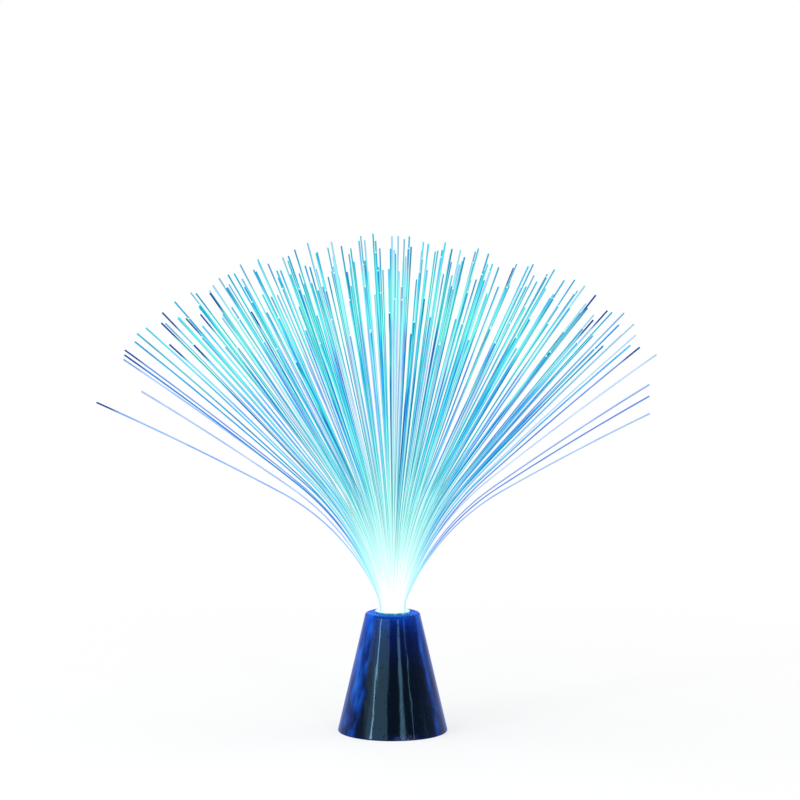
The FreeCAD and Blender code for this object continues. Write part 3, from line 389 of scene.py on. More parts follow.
def lead_finish(name, colour, shade):
    """Extruded insulation, drawn along its length, a little dulled by handling."""
    finish = Finish(name)
    streak = finish.noise(size=0.0015, detail=2.0, stretch=(1.0, 1.0, 0.2))
    finish.set("Base Color", finish.mix(finish.between(streak, (0.35, 0.65)), colour, shade))
    finish.set("Roughness", finish.varied(finish.noise(size=0.003), 0.35, 0.55))
    finish.bump(streak, depth=0.04 * MM)
    return finish


def metal_finish(name, colour, tarnish, roughness, stretch=EVEN):
    """Bare or plated metal with drawing lines and faint tarnish."""
    finish = Finish(name, Metallic=1.0)
    cloud = finish.noise(size=0.003, detail=4.0)
    finish.set("Base Color", finish.mix(finish.between(cloud, (0.45, 0.75)), colour, tarnish))
    lines = finish.noise(size=0.0004, stretch=stretch)
    rough = finish.varied(lines, *roughness_range(roughness, METAL_ROUGHNESS))
    finish.set("Roughness", rough)
    finish.bump(lines, depth=0.01 * MM)
    return finish


# Along a battery cell from its minus end: bare can, wrapping and ring, which a mask's red and
# green channels tell apart.
CAN, RING, WRAP = (1.0, 0.0, 0.0), (0.0, 1.0, 0.0), (0.0, 0.0, 0.0)
CELL_BANDS = [(0.0, CAN), (0.03, WRAP), (0.72, RING), (0.9, WRAP), (0.945, CAN)]


def cell_finish(name, sign):
    """A wrapped can: bare metal at both ends, a dark sleeve and one pale ring near the plus end."""
    finish = Finish(name)
    low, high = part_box(name)
    ends = (low.x, high.x) if sign > 0 else (high.x, low.x)
    along = finish.between(finish.axes()["X"], ends)
    mottle = finish.between(finish.noise(size=0.006), (0.35, 0.65))
    sleeve = finish.mix(mottle, display(0.13, 0.15, 0.18), display(0.19, 0.21, 0.25))
    bands = finish.ramp(along, CELL_BANDS, "CONSTANT")
    bare, ring = finish.node("SeparateColor", 0, [("Color", bands)]).node.outputs[:2]
    banded = finish.mix(ring, sleeve, display(0.82, 0.66, 0.3))
    finish.set("Base Color", finish.mix(bare, banded, display(0.78, 0.78, 0.8)))
    finish.set("Metallic", bare)
    lines = finish.noise(size=0.002, stretch=(0.3, 1.0, 1.0))
    finish.set("Roughness", finish.varied(lines, 0.25, 0.4))
    finish.bump(finish.noise(size=0.0008, detail=2.0), depth=0.01 * MM)
    return finish


# ---------------------------------------------------------------- electronics

TRACK_SETTINGS = [
    ("Scale", 330.0),
    ("Mortar Size", 0.06),
    ("Mortar Smooth", 0.15),
    ("Brick Width", 1.3),
    ("Row Height", 0.8),
]


def board_finish():
    """Green solder mask over straight copper tracks."""
    finish = Finish("board_mask")
    tracks = finish.node("TexBrick", BRICK_MASK, [("Vector", finish.place()), *TRACK_SETTINGS])
    weave = finish.varied(finish.noise(size=0.0007, detail=2.0))
    mask = finish.mix(weave, display(0.04, 0.3, 0.16), display(0.06, 0.36, 0.2))
    finish.set("Base Color", finish.mix(tracks, mask, display(0.2, 0.52, 0.3)))
    finish.set("Roughness", finish.varied(finish.noise(size=0.002), 0.28, 0.42))
    finish.bump(tracks, depth=0.04 * MM)
    return finish


RESISTOR_BODY = display(0.84, 0.72, 0.5)
RESISTOR_TIN = display(0.75, 0.75, 0.76)
# Where each painted ring starts along the resistor, where it ends, and its colour.
RESISTOR_RINGS = [
    (0.26, 0.315, display(0.5, 0.25, 0.1)),
    (0.38, 0.435, display(0.03, 0.03, 0.03)),
    (0.5, 0.555, display(0.75, 0.12, 0.08)),
    (0.68, 0.74, display(0.78, 0.6, 0.2)),
]
RESISTOR_CAPS = (0.13, 0.87)


def resistor_finish():
    """A lacquered barrel with four painted rings."""
    finish = Finish("resistor_lacquer")
    low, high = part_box("resistor")
    along = finish.between(finish.axes()["X"], (low.x, high.x))
    stops = [(0.0, RESISTOR_TIN), (RESISTOR_CAPS[0], RESISTOR_BODY)]
    for start, end, colour in RESISTOR_RINGS:
        stops += [(start, colour), (end, RESISTOR_BODY)]
    stops.append((RESISTOR_CAPS[1], RESISTOR_TIN))
    painted = finish.ramp(along, stops, "CONSTANT")
    cloud = finish.varied(finish.noise(size=0.0012), 0.0, 0.18)
    finish.set("Base Color", finish.mix(cloud, painted, display(0.4, 0.3, 0.2)))
    finish.set("Roughness", finish.varied(finish.noise(size=0.0008), 0.25, 0.4))
    finish.bump(finish.noise(size=0.0005), depth=0.02 * MM)
    return finish


# ---------------------------------------------------------------- lit plastics

# The light in the LEDs and in the cup, at shares of their height.
LED_GLOW = [(0.2, (0.05, 0.1, 0.12)), (0.7, display(0.5, 0.9, 1.0)), (1.0, WHITE)]
CUP_GLOW = [(0.0, (0.02, 0.05, 0.06)), (0.45, (0.1, 0.3, 0.35)), (1.0, (0.01, 0.02, 0.03))]


def lit_finish(name, colour, node, stops, strength, roughness=0.25):
    """Plastic that light comes out of, more at some heights of its node than at others."""
    finish = Finish(name, Roughness=roughness)
    low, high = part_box(node)
    cloud = finish.varied(finish.noise(size=0.003), 0.85, 1.1)
    glow = finish.ramp(finish.between(finish.axes()["Z"], (low.z, high.z)), stops)
    finish.set("Base Color", finish.mix(cloud, BLACK, colour))
    finish.emit(finish.mix(cloud, BLACK, glow), strength)
    finish.bump(finish.noise(size=0.0006, detail=2.0), depth=0.01 * MM)
    return finish


COLLAR_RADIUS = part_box("fibre_collar")[1].x
# The collar's light changes from this share of its radius, stop 0, to its edge, stop 1.
COLLAR_INNER = 0.6
COLLAR_GLOW = [
    (0.0, display(0.93, 0.99, 0.99)),
    (0.45, display(0.72, 0.96, 1.0)),
    (0.9, display(0.6, 0.92, 0.97)),
    (1.0, display(0.1, 0.45, 0.55)),
]
COLLAR_STRENGTH = 0.85


def collar_finish():
    """The translucent collar: white where it meets the bundle, pale cyan at its edge."""
    finish = Finish("collar_glow", Roughness=0.22)
    level = [(0, finish.place()), (1, (1.0, 1.0, 0.0))]
    radius = finish.length(finish.node("VectorMath", 0, level, operation="MULTIPLY"))
    lumps = finish.varied(finish.noise(size=0.004, detail=2.0), -0.06, 0.06)
    outward = finish.between(radius, (COLLAR_INNER * COLLAR_RADIUS, COLLAR_RADIUS))
    share = finish.math("ADD", outward, lumps)
    body = finish.mix(share, display(0.3, 0.4, 0.42), display(0.1, 0.28, 0.34))
    finish.set("Base Color", body)
    finish.emit(finish.ramp(share, COLLAR_GLOW), COLLAR_STRENGTH)
    finish.bump(finish.noise(size=0.002, detail=2.0), depth=0.03 * MM)
    return finish


# ---------------------------------------------------------------- shape of the fibres

# The bundle and the fan, in millimetres and radians, as the model has them. A fibre stands
# upright up to the neck, takes a share of its lean in a tight bend there and another share over
# the spread, and the rest up to its tip.
FIBRE_RADIUS = 0.44
FIBRE_PITCH = 0.93
BUNDLE_RADIUS = 8.0
BUNDLE_BOTTOM = 46.5
NECK = 82.0
FIBRE_REACH = 244.0
FIBRE_TRIM = 0.07
LEAN_SIDEWAYS = math.radians(54.0)
LEAN_DEPTH = math.radians(45.0)
NECK_SHARE = 0.36
NECK_BEND = 16.0
SPREAD_SHARE = 0.58
SPREAD_LENGTH = 95.0
LEAN_SCATTER = math.radians(1.2)
TURN_SCATTER = math.radians(2.2)
SMALLEST_LEAN = math.radians(1.0)
SCATTER_SEED = 11
# The model's eight nodes of fibres; the first one's edge is at this angle, in degrees.
SECTORS = 8
FIRST_SECTOR_ANGLE = -22.5

# Each fibre that strays from the rest: its direction and lean in degrees, its share of the
# full length, its hue on the fibres' colour ramp and how dark its tip is.
Stray = namedtuple("Stray", "direction lean length hue ink")
STRAYS = [
    Stray(5.8, 64.8, 0.862, 0.12, 0.1),
    Stray(-5.8, 59.8, 0.892, 0.18, 0.0),
    Stray(-12.2, 57.3, 0.924, 0.13, 0.1),
    Stray(17.5, 58.9, 1.004, 0.1, 0.1),
    Stray(174.2, 66.7, 0.968, 0.2, 1.0),
    Stray(-174.2, 58.2, 0.888, 0.12, 0.2),
    Stray(168.0, 55.5, 0.994, 0.16, 1.0),
    Stray(-168.0, 53.8, 0.996, 0.7, 0.9),
    Stray(161.5, 59.5, 1.0, 0.14, 0.4),
    Stray(-161.5, 51.1, 1.032, 0.6, 0.2),
]

# The mesh: how many sides a fibre has, and rings in each of its three arcs.
FIBRE_SIDES = 8
NECK_RINGS = 6
SPREAD_RINGS = 14
END_RINGS = 12
TIP_CHAMFER = 0.14
# The hot knife that cuts the fibres swells them a little, from this share of their length on
# and up to this radius at the end. The model's fibres don't swell.
SWELLING_STARTS = 0.4
FIBRE_END_RADIUS = 0.56
# What stays free in the map for baking, at the ends of a fibre's row and between the rows.
MAP_MARGIN_ENDS = 0.01
MAP_MARGIN_ROWS = 0.08


def lattice():
    """The fibres' places in the bundle: a triangular lattice inside a circle."""
    rows = int(BUNDLE_RADIUS / (FIBRE_PITCH * math.sin(math.pi / 3))) + 1
    columns = int(BUNDLE_RADIUS / FIBRE_PITCH) + rows
    for row in range(-rows, rows + 1):
        for column in range(-columns, columns + 1):
            x = FIBRE_PITCH * (column + row / 2)
            y = FIBRE_PITCH * row * math.sin(math.pi / 3)
            if math.hypot(x, y) <= BUNDLE_RADIUS:
                yield x, y


def pick_strays(spots):
    """For each stray, the fibre nearest the bundle's rim in its direction."""
    strays = {}
    for stray in STRAYS:
        toward = math.radians(stray.direction)
        rim = (BUNDLE_RADIUS * math.cos(toward), BUNDLE_RADIUS * math.sin(toward))
        free = [spot for spot in spots if spot not in strays]
        strays[min(free, key=lambda spot: math.dist(spot, rim))] = stray
    return strays


def fibre_rings(x, y, azimuth, lean, length):
    """Where the rings of one fibre lie: centre, angle from upright and distance from its foot."""
    outward = Vector((math.cos(azimuth), math.sin(azimuth), 0.0))
    neck_turn = NECK_SHARE * lean
    spread_turn = SPREAD_SHARE * lean
    neck_length = NECK_BEND * neck_turn
    straight = NECK - BUNDLE_BOTTOM
    rings = [(Vector((x, y, BUNDLE_BOTTOM)), 0.0, 0.0), (Vector((x, y, NECK)), 0.0, straight)]
    arcs = (
        (neck_turn, neck_length, NECK_RINGS),
        (spread_turn, SPREAD_LENGTH, SPREAD_RINGS),
        (lean - neck_turn - spread_turn, length - neck_length - SPREAD_LENGTH, END_RINGS),
    )
    for turn, run, count in arcs:
        start, angle, reached = rings[-1]
        radius = run / turn
        for step in range(1, count + 1):
            share = step / count
            now = angle + turn * share
            out = radius * (math.cos(angle) - math.cos(now))
            rise = radius * (math.sin(now) - math.sin(angle))
            spot = start + outward * out + Vector((0, 0, rise))
            rings.append((spot, now, reached + run * share))
    return rings, outward


def radius_at(share):
    """A fibre's radius at a share of its length."""
    swollen = max(share - SWELLING_STARTS, 0.0) / (1 - SWELLING_STARTS)
    return FIBRE_RADIUS + (FIBRE_END_RADIUS - FIBRE_RADIUS) * swollen


def add_fibre(rings, outward, corners, faces):
    """One closed tube with a chamfered, cut end. A corner is a point and a share of length."""
    across = Vector((-outward.y, outward.x, 0.0))
    first = len(corners)
    centre, angle, reached = rings[-1]
    along = outward * math.sin(angle) + Vector((0, 0, math.cos(angle)))
    body = [(c, a, r, radius_at(r / reached)) for c, a, r in rings[:-1]]
    body.append((centre - along * TIP_CHAMFER, angle, reached - TIP_CHAMFER, FIBRE_END_RADIUS))
    body.append((centre, angle, reached, FIBRE_END_RADIUS - TIP_CHAMFER))
    for spot, lean, travelled, radius in body:
        inward = Vector((0, 0, math.sin(lean))) - outward * math.cos(lean)
        for side in range(FIBRE_SIDES):
            turn = 2 * math.pi * side / FIBRE_SIDES
            corner = spot + (across * math.cos(turn) + inward * math.sin(turn)) * radius
            corners.append((corner * MM, travelled / reached))
    last = len(body) - 1
    for ring in range(last):
        for side in range(FIBRE_SIDES):
            here = first + ring * FIBRE_SIDES
            there = here + FIBRE_SIDES
            following = (side + 1) % FIBRE_SIDES
            faces.append((here + side, here + following, there + following, there + side))
    foot = tuple(first + side for side in reversed(range(FIBRE_SIDES)))
    tip = tuple(first + last * FIBRE_SIDES + side for side in range(FIBRE_SIDES))
    faces += [foot, tip]


# ---------------------------------------------------------------- looks of the fibres

# The kinds of light that a fibre carries, pale to navy: where each lies on the colour ramp,
# its colour, its share among the fibres on the left and on the right, and how that share grows
# with a power of the lean to a side. The pale kind grows only on the right.
Kind = namedtuple("Kind", "place colour left right growth power")
PALE = Kind(0.04, display(0.86, 0.94, 1.0), 0.08, 0.18, 3.0, 2)
KINDS = [
    PALE,
    Kind(0.18, display(0.56, 0.69, 0.98), 0.08, 0.25, 3.5, 3),
    Kind(0.34, display(0.52, 0.97, 0.92), 0.25, 0.2, -0.6, 1),
    Kind(0.5, display(0.28, 0.88, 0.96), 0.26, 0.16, 0.0, 1),
    Kind(0.66, display(0.22, 0.68, 1.0), 0.16, 0.1, 1.5, 3),
    Kind(0.83, display(0.04, 0.6, 0.73), 0.09, 0.04, 0.0, 1),
    Kind(0.96, display(0.02, 0.36, 0.64), 0.03, 0.02, 2.0, 3),
]
HUE_SCATTER = 0.03
LOOKS_SEED = 23

# Waves over the fan, by the angle that a fibre leans: how fast they turn, where they start and
# how far they shift from kind to kind. Two of them keep fibres of one kind in bunches, this
# strongly, and two make pale gaps between bunches where they add up to more than a limit.
Wave = namedtuple("Wave", "rate start shift")
BUNCH_WAVES = (Wave(31.0, 0.8, 2.3), Wave(19.0, 0.0, 1.7))
BUNCH_STRENGTH = 1.3
GAP_WAVES = (Wave(37.0, 1.1, 0.0), Wave(61.0, 0.0, 0.0))
GAP_SECOND_SHARE = 0.7
GAP_LIMIT = 1.05

# Tips: some are a little dark, and towards the sides of the fan more are very dark.
FAINT_INK = 0.3
FAINT_INK_CHANCE = 0.2
DARK_INK_CHANCE = 0.5

# How much sooner the light turns from white to coloured: at random, in the outer part of the
# bundle, and for fibres that lean far to a side.
SHIFT_SCATTER = 0.028
SHIFT_OUTWARD = 0.09
SHIFT_MIDDLE = 0.65
SHIFT_SIDEWAYS = 0.3
SHIFT_SIDE_STARTS = 0.45

# The fibres that run at the bundle's two sides, from this share of its radius and over this
# much more, and those that show their own hue plainly, by their lean in the same way: this
# plainly on the right and on the left.
RIM_RISE = (0.9, 0.08)
PLAIN_RISE = (0.5, 0.25)
PLAIN_RIGHT = 0.95
PLAIN_LEFT = 0.55

# The light along a fibre, as shares of its length: what all fibres share, and how much of a
# fibre's own hue is mixed in.
SHARED_GLOW = [
    (0.2, WHITE),
    (0.26, display(0.86, 1.0, 0.97)),
    (0.42, display(0.68, 1.0, 0.96)),
    (0.6, display(0.42, 0.9, 0.96)),
    (0.76, display(0.1, 0.6, 0.97)),
    (0.83, display(0.48, 1.0, 0.95)),
    (0.92, display(0.42, 0.96, 0.95)),
    (0.97, display(0.2, 0.78, 0.9)),
]
OWN_SHARE = [
    (0.22, 0.0),
    (0.36, 0.18),
    (0.5, 0.5),
    (0.62, 0.75),
    (0.77, 0.72),
    (0.83, 0.25),
    (0.91, 0.25),
    (0.96, 0.4),
]
# Where each other change starts and is full, as shares of a fibre's length.
SHIFT_FADES = (0.35, 0.85)
PLAIN_REACH = (0.2, 0.35)
# The painted shade down a fibre's sides fades in over this stretch.
EDGE_SHADE_REACH = (0.24, 0.4)
RIM_REACH = (0.24, 0.16)
INK_REACH = (0.935, 0.96)
CUT_REACH = (0.9975, 0.999)
# The first colour here is that of painted shade, the dark lines down two sides of each fibre.
EDGE_SHADE_COLOUR = display(0.12, 0.5, 0.57)
RIM_COLOUR = display(0.7, 0.84, 1.0)
INK_COLOUR = display(0.0, 0.26, 0.58)
CUT_COLOUR = display(0.8, 1.0, 0.98)
# Painted shade down a fibre's two opposite sides, dark lines that stand in for the dark edges of a
# clear rod: where they start and are full, as the cosine of the angle round the fibre.
EDGE_SHADE_WIDTH = (0.72, 1.0)
# Streaks along a fibre: how many, how far apart the fibres lie in the noise, the levels of the
# noise at which a streak is at its deepest and palest, and the gammas of the fibre's own hue there.
STREAKS = 11.0
STREAK_SPACING = 97.0
STREAK_EDGES = (0.32, 0.68)
STREAK_GAMMAS = (1.5, 0.75)
# How far each fibre's light is moved along it, by its seed.
WANDER = (-0.025, 0.025)
# How much of its light's colour a fibre has by itself.
BODY_SHARE = 0.1
ACRYLIC_IOR = 1.49


def rising(value, start, width):
    """0 up to a start, and 1 from a width beyond it."""
    return min(max((value - start) / width, 0.0), 1.0)


def wave_at(wave, angle, number=0):
    """The height of a wave at an angle, for one kind of fibre."""
    return math.sin(wave.rate * angle + wave.start + wave.shift * number)


def kind_weights(front, flank, right, side):
    """How likely a fibre is of each kind, by where it leans."""
    weights = []
    for number, kind in enumerate(KINDS):
        share = kind.left * (1 - right) + kind.right * right
        growth = kind.growth * right if kind is PALE else kind.growth
        more = 1.0 + growth * side**kind.power
        bunch = wave_at(BUNCH_WAVES[0], front, number) * wave_at(BUNCH_WAVES[1], flank, number)
        weights.append(share * more * math.exp(BUNCH_STRENGTH * bunch))
    return weights


def fibre_looks(rings, draw):
    """How one fibre looks: hue, a seed for its streaks, how soon its light turns from white
    to coloured, how dark its tip is, how near it runs to the bundle's two sides, and how
    plainly it shows its own hue. Every fibre takes the same draws in the same order."""
    foot, tip = rings[0][0], rings[-1][0]
    rise = tip.z - NECK
    front, flank = math.atan2(tip.x, rise), math.atan2(tip.y, rise)
    right = (foot.x / BUNDLE_RADIUS + 1) / 2
    side = abs(front) / LEAN_SIDEWAYS
    places = [kind.place for kind in KINDS]
    hue = draw.choices(places, kind_weights(front, flank, right, side))[0]
    hue += draw.gauss(0.0, HUE_SCATTER)
    first, second = (wave_at(wave, front) for wave in GAP_WAVES)
    if first + GAP_SECOND_SHARE * second > GAP_LIMIT:
        hue = PALE.place
    faint = draw.random() < FAINT_INK_CHANCE
    dark = draw.random() < DARK_INK_CHANCE * side**3
    seed = draw.random()
    shift = draw.gauss(0.0, SHIFT_SCATTER)
    shift += SHIFT_OUTWARD * (foot.xy.length / BUNDLE_RADIUS - SHIFT_MIDDLE)
    shift += SHIFT_SIDEWAYS * max(side - SHIFT_SIDE_STARTS, 0.0)
    plain = rising(side, *PLAIN_RISE) * (PLAIN_RIGHT if front > 0 else PLAIN_LEFT)
    return {
        "hue": min(max(hue, 0.0), 1.0),
        "seed": seed,
        "shift": shift,
        "ink": min(FAINT_INK * faint + dark, 1.0),
        "rim": rising(abs(foot.x) / BUNDLE_RADIUS, *RIM_RISE),
        "plain": plain,
    }


def fibre_finish():
    """Acrylic light guide: white at the collar, then its own hue, mint before the tip."""
    finish = Finish("fibre_light", Roughness=0.25, IOR=ACRYLIC_IOR, Specular_IOR_Level=0.008)
    along = finish.attribute("along")
    hues = finish.ramp(finish.attribute("hue"), [(kind.place, kind.colour) for kind in KINDS])
    line = finish.math("MULTIPLY", finish.attribute("seed"), STREAK_SPACING)
    spot = finish.node("CombineXYZ", 0, [(0, finish.math("MULTIPLY", along, STREAKS)), (1, line)])
    depth = finish.between(finish.noise(size=1.0, vector=spot), STREAK_EDGES, STREAK_GAMMAS)
    own = finish.node("Gamma", 0, [("Color", hues), ("Gamma", depth)])
    fade = finish.between(along, SHIFT_FADES, (1.0, 0.0))
    wander = finish.between(finish.attribute("seed"), (0.0, 1.0), WANDER)
    wandered = finish.math("ADD", along, wander)
    shifted = finish.math("MULTIPLY_ADD", finish.attribute("shift"), fade, wandered)
    glow = finish.ramp(shifted, SHARED_GLOW)
    share = finish.ramp(shifted, OWN_SHARE)
    plain = finish.math("MULTIPLY", finish.attribute("plain"), finish.between(along, PLAIN_REACH))
    lit = finish.mix(finish.math("MAXIMUM", share, plain), glow, own)
    # Painted shade: dark lines down two opposite sides of each fibre, past the white part near the
    # collar.
    aside = finish.math("ABSOLUTE", finish.attribute("flank"))
    flank = finish.between(aside, EDGE_SHADE_WIDTH)
    flank = finish.math("MULTIPLY", flank, finish.between(along, EDGE_SHADE_REACH))
    lit = finish.mix(flank, lit, EDGE_SHADE_COLOUR, "MULTIPLY")
    rim = finish.math("MULTIPLY", finish.attribute("rim"), finish.between(along, RIM_REACH))
    lit = finish.mix(rim, lit, RIM_COLOUR)
    ink = finish.math("MULTIPLY", finish.attribute("ink"), finish.between(along, INK_REACH))
    lit = finish.mix(ink, lit, INK_COLOUR)
    lit = finish.mix(finish.between(along, CUT_REACH), lit, CUT_COLOUR)
    finish.set("Base Color", finish.scaled(lit, BODY_SHARE))
    finish.emit(lit, 1.0)
    return finish


# ---------------------------------------------------------------- spray of fibres


def sector_of(x, y):
    """Which of the model's nodes a fibre at this place in the bundle is in."""
    turned = math.degrees(math.atan2(y, x)) - FIRST_SECTOR_ANGLE
    return int(turned // (360 / SECTORS)) % SECTORS


def plan_fibres():
    """Every fibre of each sector: its rings and its looks."""
    scatter = random.Random(SCATTER_SEED)
    draw = random.Random(LOOKS_SEED)
    spots = list(lattice())
    strays = pick_strays(spots)
    sectors = [[] for _ in range(SECTORS)]
    for x, y in spots:
        share = math.hypot(x, y) / BUNDLE_RADIUS
        around = math.atan2(y, x)
        widest = math.hypot(LEAN_SIDEWAYS * math.cos(around), LEAN_DEPTH * math.sin(around))
        lean = math.acos(1 - (1 - math.cos(widest)) * share**2)
        lean += scatter.uniform(-LEAN_SCATTER, LEAN_SCATTER)
        azimuth = around + scatter.uniform(-TURN_SCATTER, TURN_SCATTER)
        length = FIBRE_REACH * (1 - FIBRE_TRIM * scatter.uniform(0, 1) ** 2)
        stray = strays.get((x, y))
        if stray:
            lean = math.radians(stray.lean)
            length = FIBRE_REACH * stray.length
        rings, outward = fibre_rings(x, y, azimuth, max(lean, SMALLEST_LEAN), length)
        looks = fibre_looks(rings, draw)
        if stray:
            looks.update(hue=stray.hue, ink=stray.ink, plain=1.0)
        sectors[sector_of(x, y)].append((rings, outward, looks))
    return sectors


def map_fibres(mesh, corners, owners, count):
    """Lay the fibres out for baking, each in a row of its own."""
    rows = mesh.uv_layers.new(name="OFBake")
    for polygon in mesh.polygons:
        used = [mesh.loops[loop].vertex_index for loop in polygon.loop_indices]
        sides = [corner % FIBRE_SIDES for corner in used]
        wraps = FIBRE_SIDES - 1 in sides and 0 in sides and len(sides) == 4
        for loop, corner, side in zip(polygon.loop_indices, used, sides):
            turn = FIBRE_SIDES if wraps and side == 0 else side
            row = MAP_MARGIN_ROWS + (1 - 2 * MAP_MARGIN_ROWS) * turn / FIBRE_SIDES
            along = MAP_MARGIN_ENDS + (1 - 2 * MAP_MARGIN_ENDS) * corners[corner][1]
            rows.data[loop].uv = (along, (owners[corner] + row) / count)


def make_sector(index, fibres, finish):
    """The fibres of one sector as one piece."""
    corners, faces, owners = [], [], []
    for number, (rings, outward, _) in enumerate(fibres):
        before = len(corners)
        add_fibre(rings, outward, corners, faces)
        owners += [number] * (len(corners) - before)
    name = f"fibre_spray_{index}"
    mesh = bpy.data.meshes.new(name)
    mesh.from_pydata([spot for spot, _ in corners], [], faces)
    mesh.polygons.foreach_set("use_smooth", [len(face) == 4 for face in faces])
    looks = [fibres[owner][2] for owner in owners]
    values = {attribute: [look[attribute] for look in looks] for attribute in looks[0]}
    values["along"] = [share for _, share in corners]
    # Where the lines of painted shade lie round each fibre.
    turns = [corner / FIBRE_SIDES + look["seed"] for corner, look in enumerate(looks)]
    values["flank"] = [math.cos(2 * math.pi * turn) for turn in turns]
    for attribute, numbers in values.items():
        mesh.attributes.new(attribute, "FLOAT", "POINT").data.foreach_set("value", numbers)
    map_fibres(mesh, corners, owners, len(fibres))
    mesh.materials.append(finish.material)
    piece = bpy.data.objects.new(name, mesh)
    bpy.context.scene.collection.objects.link(piece)
    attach(piece, "root")
    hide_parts(f"fibres_sector_{index}")


def make_spray():
    """All the fibres, sector by sector."""
    light_guide = fibre_finish()
    for index, fibres in enumerate(plan_fibres(), start=1):
        make_sector(index, fibres, light_guide)


# ---------------------------------------------------------------- switch spring

SPRING_WIRE = 0.2 * MM
SPRING_TURNS = 5
SPRING_STEPS = 20
WIRE_SIDES = 8


def make_switch_spring(finish):
    """The spring over the plunger, which the button squeezes against the switch's roof."""
    low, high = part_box("switch_spring")
    radius = (high.x - low.x) / 2 - SPRING_WIRE
    bottom, top = low.z + SPRING_WIRE, high.z - SPRING_WIRE
    count = SPRING_TURNS * SPRING_STEPS
    corners, faces = [], []
    for step in range(count + 1):
        turn = 2 * math.pi * step / SPRING_STEPS
        out = Vector((math.cos(turn), math.sin(turn), 0.0))
        middle = (low + high) / 2 + out * radius
        middle.z = bottom + (top - bottom) * step / count
        for side in range(WIRE_SIDES):
            around = 2 * math.pi * side / WIRE_SIDES
            reach = out * math.cos(around) + Vector((0, 0, math.sin(around)))
            corners.append(middle + reach * SPRING_WIRE)
    for first in range(0, count * WIRE_SIDES, WIRE_SIDES):
        for side in range(WIRE_SIDES):
            here, following = first + side, first + (side + 1) % WIRE_SIDES
            faces.append((here, here + WIRE_SIDES, following + WIRE_SIDES, following))
    faces.append(tuple(range(WIRE_SIDES)))
    faces.append(tuple(reversed(range(count * WIRE_SIDES, (count + 1) * WIRE_SIDES))))
    mesh = bpy.data.meshes.new("switch_coil")
    mesh.from_pydata(corners, [], faces)
    mesh.polygons.foreach_set("use_smooth", [len(face) == 4 for face in faces])
    mesh.materials.append(finish.material)
    coil = bpy.data.objects.new("switch_coil", mesh)
    bpy.context.scene.collection.objects.link(coil)
    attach(coil, "root")
    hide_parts("switch_spring")
    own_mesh(coil)


# ---------------------------------------------------------------- carried-over pieces

DEEP_NAVY = display(0.03, 0.07, 0.24)
NAVY = display(0.05, 0.1, 0.33)
DOOR_NAVY = display(0.06, 0.11, 0.36)
OFF_WHITE = display(0.93, 0.94, 0.95)
CREAM = display(0.87, 0.88, 0.88)
DULL_CREAM = display(0.8, 0.8, 0.78)
SOOT = display(0.1, 0.1, 0.1)
GREY_SOOT = display(0.15, 0.15, 0.16)
# Which way each battery cell's plus end points along X.
CELL_SIGNS = (1, -1, 1)


def dress(finish, *nodes):
    """Give CAD nodes a finish in place of their plain one."""
    for node in nodes:
        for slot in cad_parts[node].material_slots:
            slot.material = finish.material


def dress_plastics():
    """The moulded pieces and the leads' insulation."""
    dress(housing_finish(), "housing_cone")
    dress(moulded_finish("plate_satin", NAVY, DEEP_NAVY, roughness=0.42), "base_plate")
    dress(moulded_finish("door_satin", DOOR_NAVY, NAVY, roughness=0.4), "battery_door")
    button = moulded_finish("button_white", OFF_WHITE, CREAM, roughness=0.3, grain=0.9 * MM)
    dress(button, "button_cap")
    dress(moulded_finish("switch_white", CREAM, DULL_CREAM, roughness=0.4), "switch_plunger")
    dress(moulded_finish("switch_black", SOOT, GREY_SOOT, roughness=0.45), "switch_body")
    red = lead_finish("insulation_red", display(0.78, 0.06, 0.05), display(0.6, 0.03, 0.03))
    dress(red, "lead_positive", "lead_switch")
    black = lead_finish("insulation_black", display(0.08, 0.08, 0.08), display(0.14, 0.14, 0.14))
    dress(black, "lead_negative")


def dress_metals():
    """Screws, contacts, the spring, the cells and the ferrule."""
    bright, dull = display(0.78, 0.79, 0.82), display(0.62, 0.62, 0.6)
    zinc = metal_finish("zinc", bright, dull, roughness=0.32)
    dress(zinc, "plate_screws", "board_screws")
    bright, dull = display(0.86, 0.85, 0.82), display(0.7, 0.68, 0.62)
    nickel = metal_finish("nickel", bright, dull, roughness=0.25, stretch=(1.0, 0.2, 1.0))
    dress(nickel, "contact_springs", "contact_bridges", "switch_pins")
    dress(nickel, "terminal_negative", "terminal_positive")
    make_switch_spring(nickel)
    for index, sign in enumerate(CELL_SIGNS, start=1):
        name = f"battery_cell_{index}"
        dress(cell_finish(name, sign), name)
    bright, dull = display(0.84, 0.85, 0.86), display(0.72, 0.73, 0.75)
    drawn = (1.0, 1.0, 0.05)
    aluminium = metal_finish("drawn_aluminium", bright, dull, roughness=0.3, stretch=drawn)
    dress(aluminium, "fibre_ferrule")


def dress_lights():
    """The board with its resistor, and the pieces that light up."""
    dress(board_finish(), "led_board")
    dress(resistor_finish(), "resistor")
    epoxy, white = display(0.75, 0.9, 1.0), display(0.9, 0.92, 0.93)
    led = lit_finish("led_epoxy", epoxy, "led_1", LED_GLOW, strength=1.0, roughness=0.08)
    dress(led, "led_1", "led_2", "led_3")
    cup = lit_finish("cup_white", white, "light_cup", CUP_GLOW, strength=0.6)
    dress(cup, "light_cup")
    dress(collar_finish(), "fibre_collar")


# ---------------------------------------------------------------- floor, light and world

FLOOR_HALF = 30.0
FLOOR_COLOUR = (0.86, 0.86, 0.86)
# Seen directly, the floor is this much plain white up to the first distance from the lamp, and
# all white from the second one on.
FLOOR_WHITE_NEAR = 0.66
SHADOW_DISTANCES = (0.08, 0.6)
WORLD_LIGHT = 0.5

LIGHT_TARGET = Vector((0.0, 0.0, 0.06))
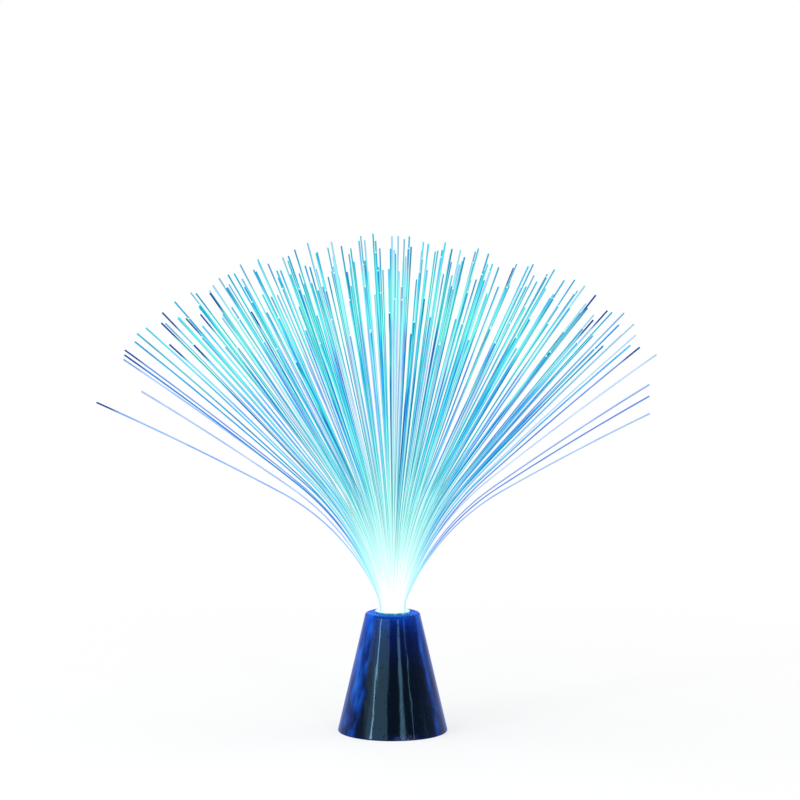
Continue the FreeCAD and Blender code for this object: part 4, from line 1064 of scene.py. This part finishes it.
# Soft boxes round the lamp: turn from the camera's side, positive to the right, and height
# above the horizon, in degrees; distance, width and height in metres; power in watts.
SOFT_BOXES = {
    "key": (-36.0, 15.0, 2.0, 1.7, 0.42, 18.0),
    "key_side": (-71.0, 15.0, 2.0, 0.8, 0.42, 5.0),
    "key_line": (-47.0, 15.0, 1.9, 0.1, 0.42, 7.7),
    "fill": (22.0, 15.0, 2.0, 0.3, 0.42, 7.0),
    "line": (47.0, 15.0, 1.9, 0.035, 0.42, 1.4),
    "side": (75.0, 4.0, 2.0, 0.25, 0.2, 1.0),
    "back": (190.0, 13.0, 2.0, 0.6, 0.4, 6.0),
    "right": (100.0, 55.0, 2.0, 1.0, 1.0, 6.0),
    "left": (-100.0, 55.0, 2.0, 1.0, 1.0, 6.0),
    "top": (0.0, 82.0, 2.0, 1.4, 1.4, 6.0),
}


def make_floor():
    """A pale floor that looks white and still takes the lamp's shadow."""
    material = bpy.data.materials.new("floor_white")
    material.use_nodes = True
    material.node_tree.nodes.clear()
    nodes = Nodes(material.node_tree)
    matt = nodes.node("BsdfDiffuse", 0, [("Color", FLOOR_COLOUR)])
    away = nodes.length(nodes.node("TexCoord", "Object"))
    whiteness = (FLOOR_WHITE_NEAR, 1.0)
    fade = nodes.between(away, SHADOW_DISTANCES, whiteness, interpolation_type="SMOOTHSTEP")
    share = nodes.math("MULTIPLY", nodes.seen_directly(), fade)
    nodes.surface("Material", share, matt, nodes.node("Emission"))
    mesh = bpy.data.meshes.new("floor")
    signs = ((-1, -1), (1, -1), (1, 1), (-1, 1))
    mesh.from_pydata([(x * FLOOR_HALF, y * FLOOR_HALF, 0) for x, y in signs], [], [(0, 1, 2, 3)])
    mesh.materials.append(material)
    floor = bpy.data.objects.new("floor", mesh)
    bpy.context.scene.collection.objects.link(floor)


def make_world():
    """Even light from all round, and white where the background is seen."""
    world = bpy.data.worlds.new("studio")
    bpy.context.scene.world = world
    world.use_nodes = True
    world.node_tree.nodes.clear()
    nodes = Nodes(world.node_tree)
    light = nodes.node("Background", 0, [("Color", WHITE), ("Strength", WORLD_LIGHT)])
    seen = nodes.node("Background", 0, [("Color", WHITE)])
    nodes.surface("World", nodes.seen_directly(), light, seen)


def make_soft_boxes():
    """Area lamps round the object, which the camera doesn't see."""
    for name, (turn, rise, distance, width, height, power) in SOFT_BOXES.items():
        data = bpy.data.lights.new(name, "AREA")
        data.shape = "RECTANGLE"
        data.size = width
        data.size_y = height
        data.energy = power
        box = bpy.data.objects.new(name, data)
        turn, rise = math.radians(turn), math.radians(rise)
        level = Vector((math.sin(turn), -math.cos(turn), 0.0)) * math.cos(rise)
        out = level + Vector((0.0, 0.0, math.sin(rise)))
        box.location = LIGHT_TARGET + out * distance
        aim(box, LIGHT_TARGET)
        box.visible_camera = False
        bpy.context.scene.collection.objects.link(box)


# ---------------------------------------------------------------- the whole

make_camera()
dress_plastics()
dress_metals()
dress_lights()
make_spray()
make_floor()
make_world()
make_soft_boxes()
bpy.context.scene.view_settings.view_transform = "Standard"
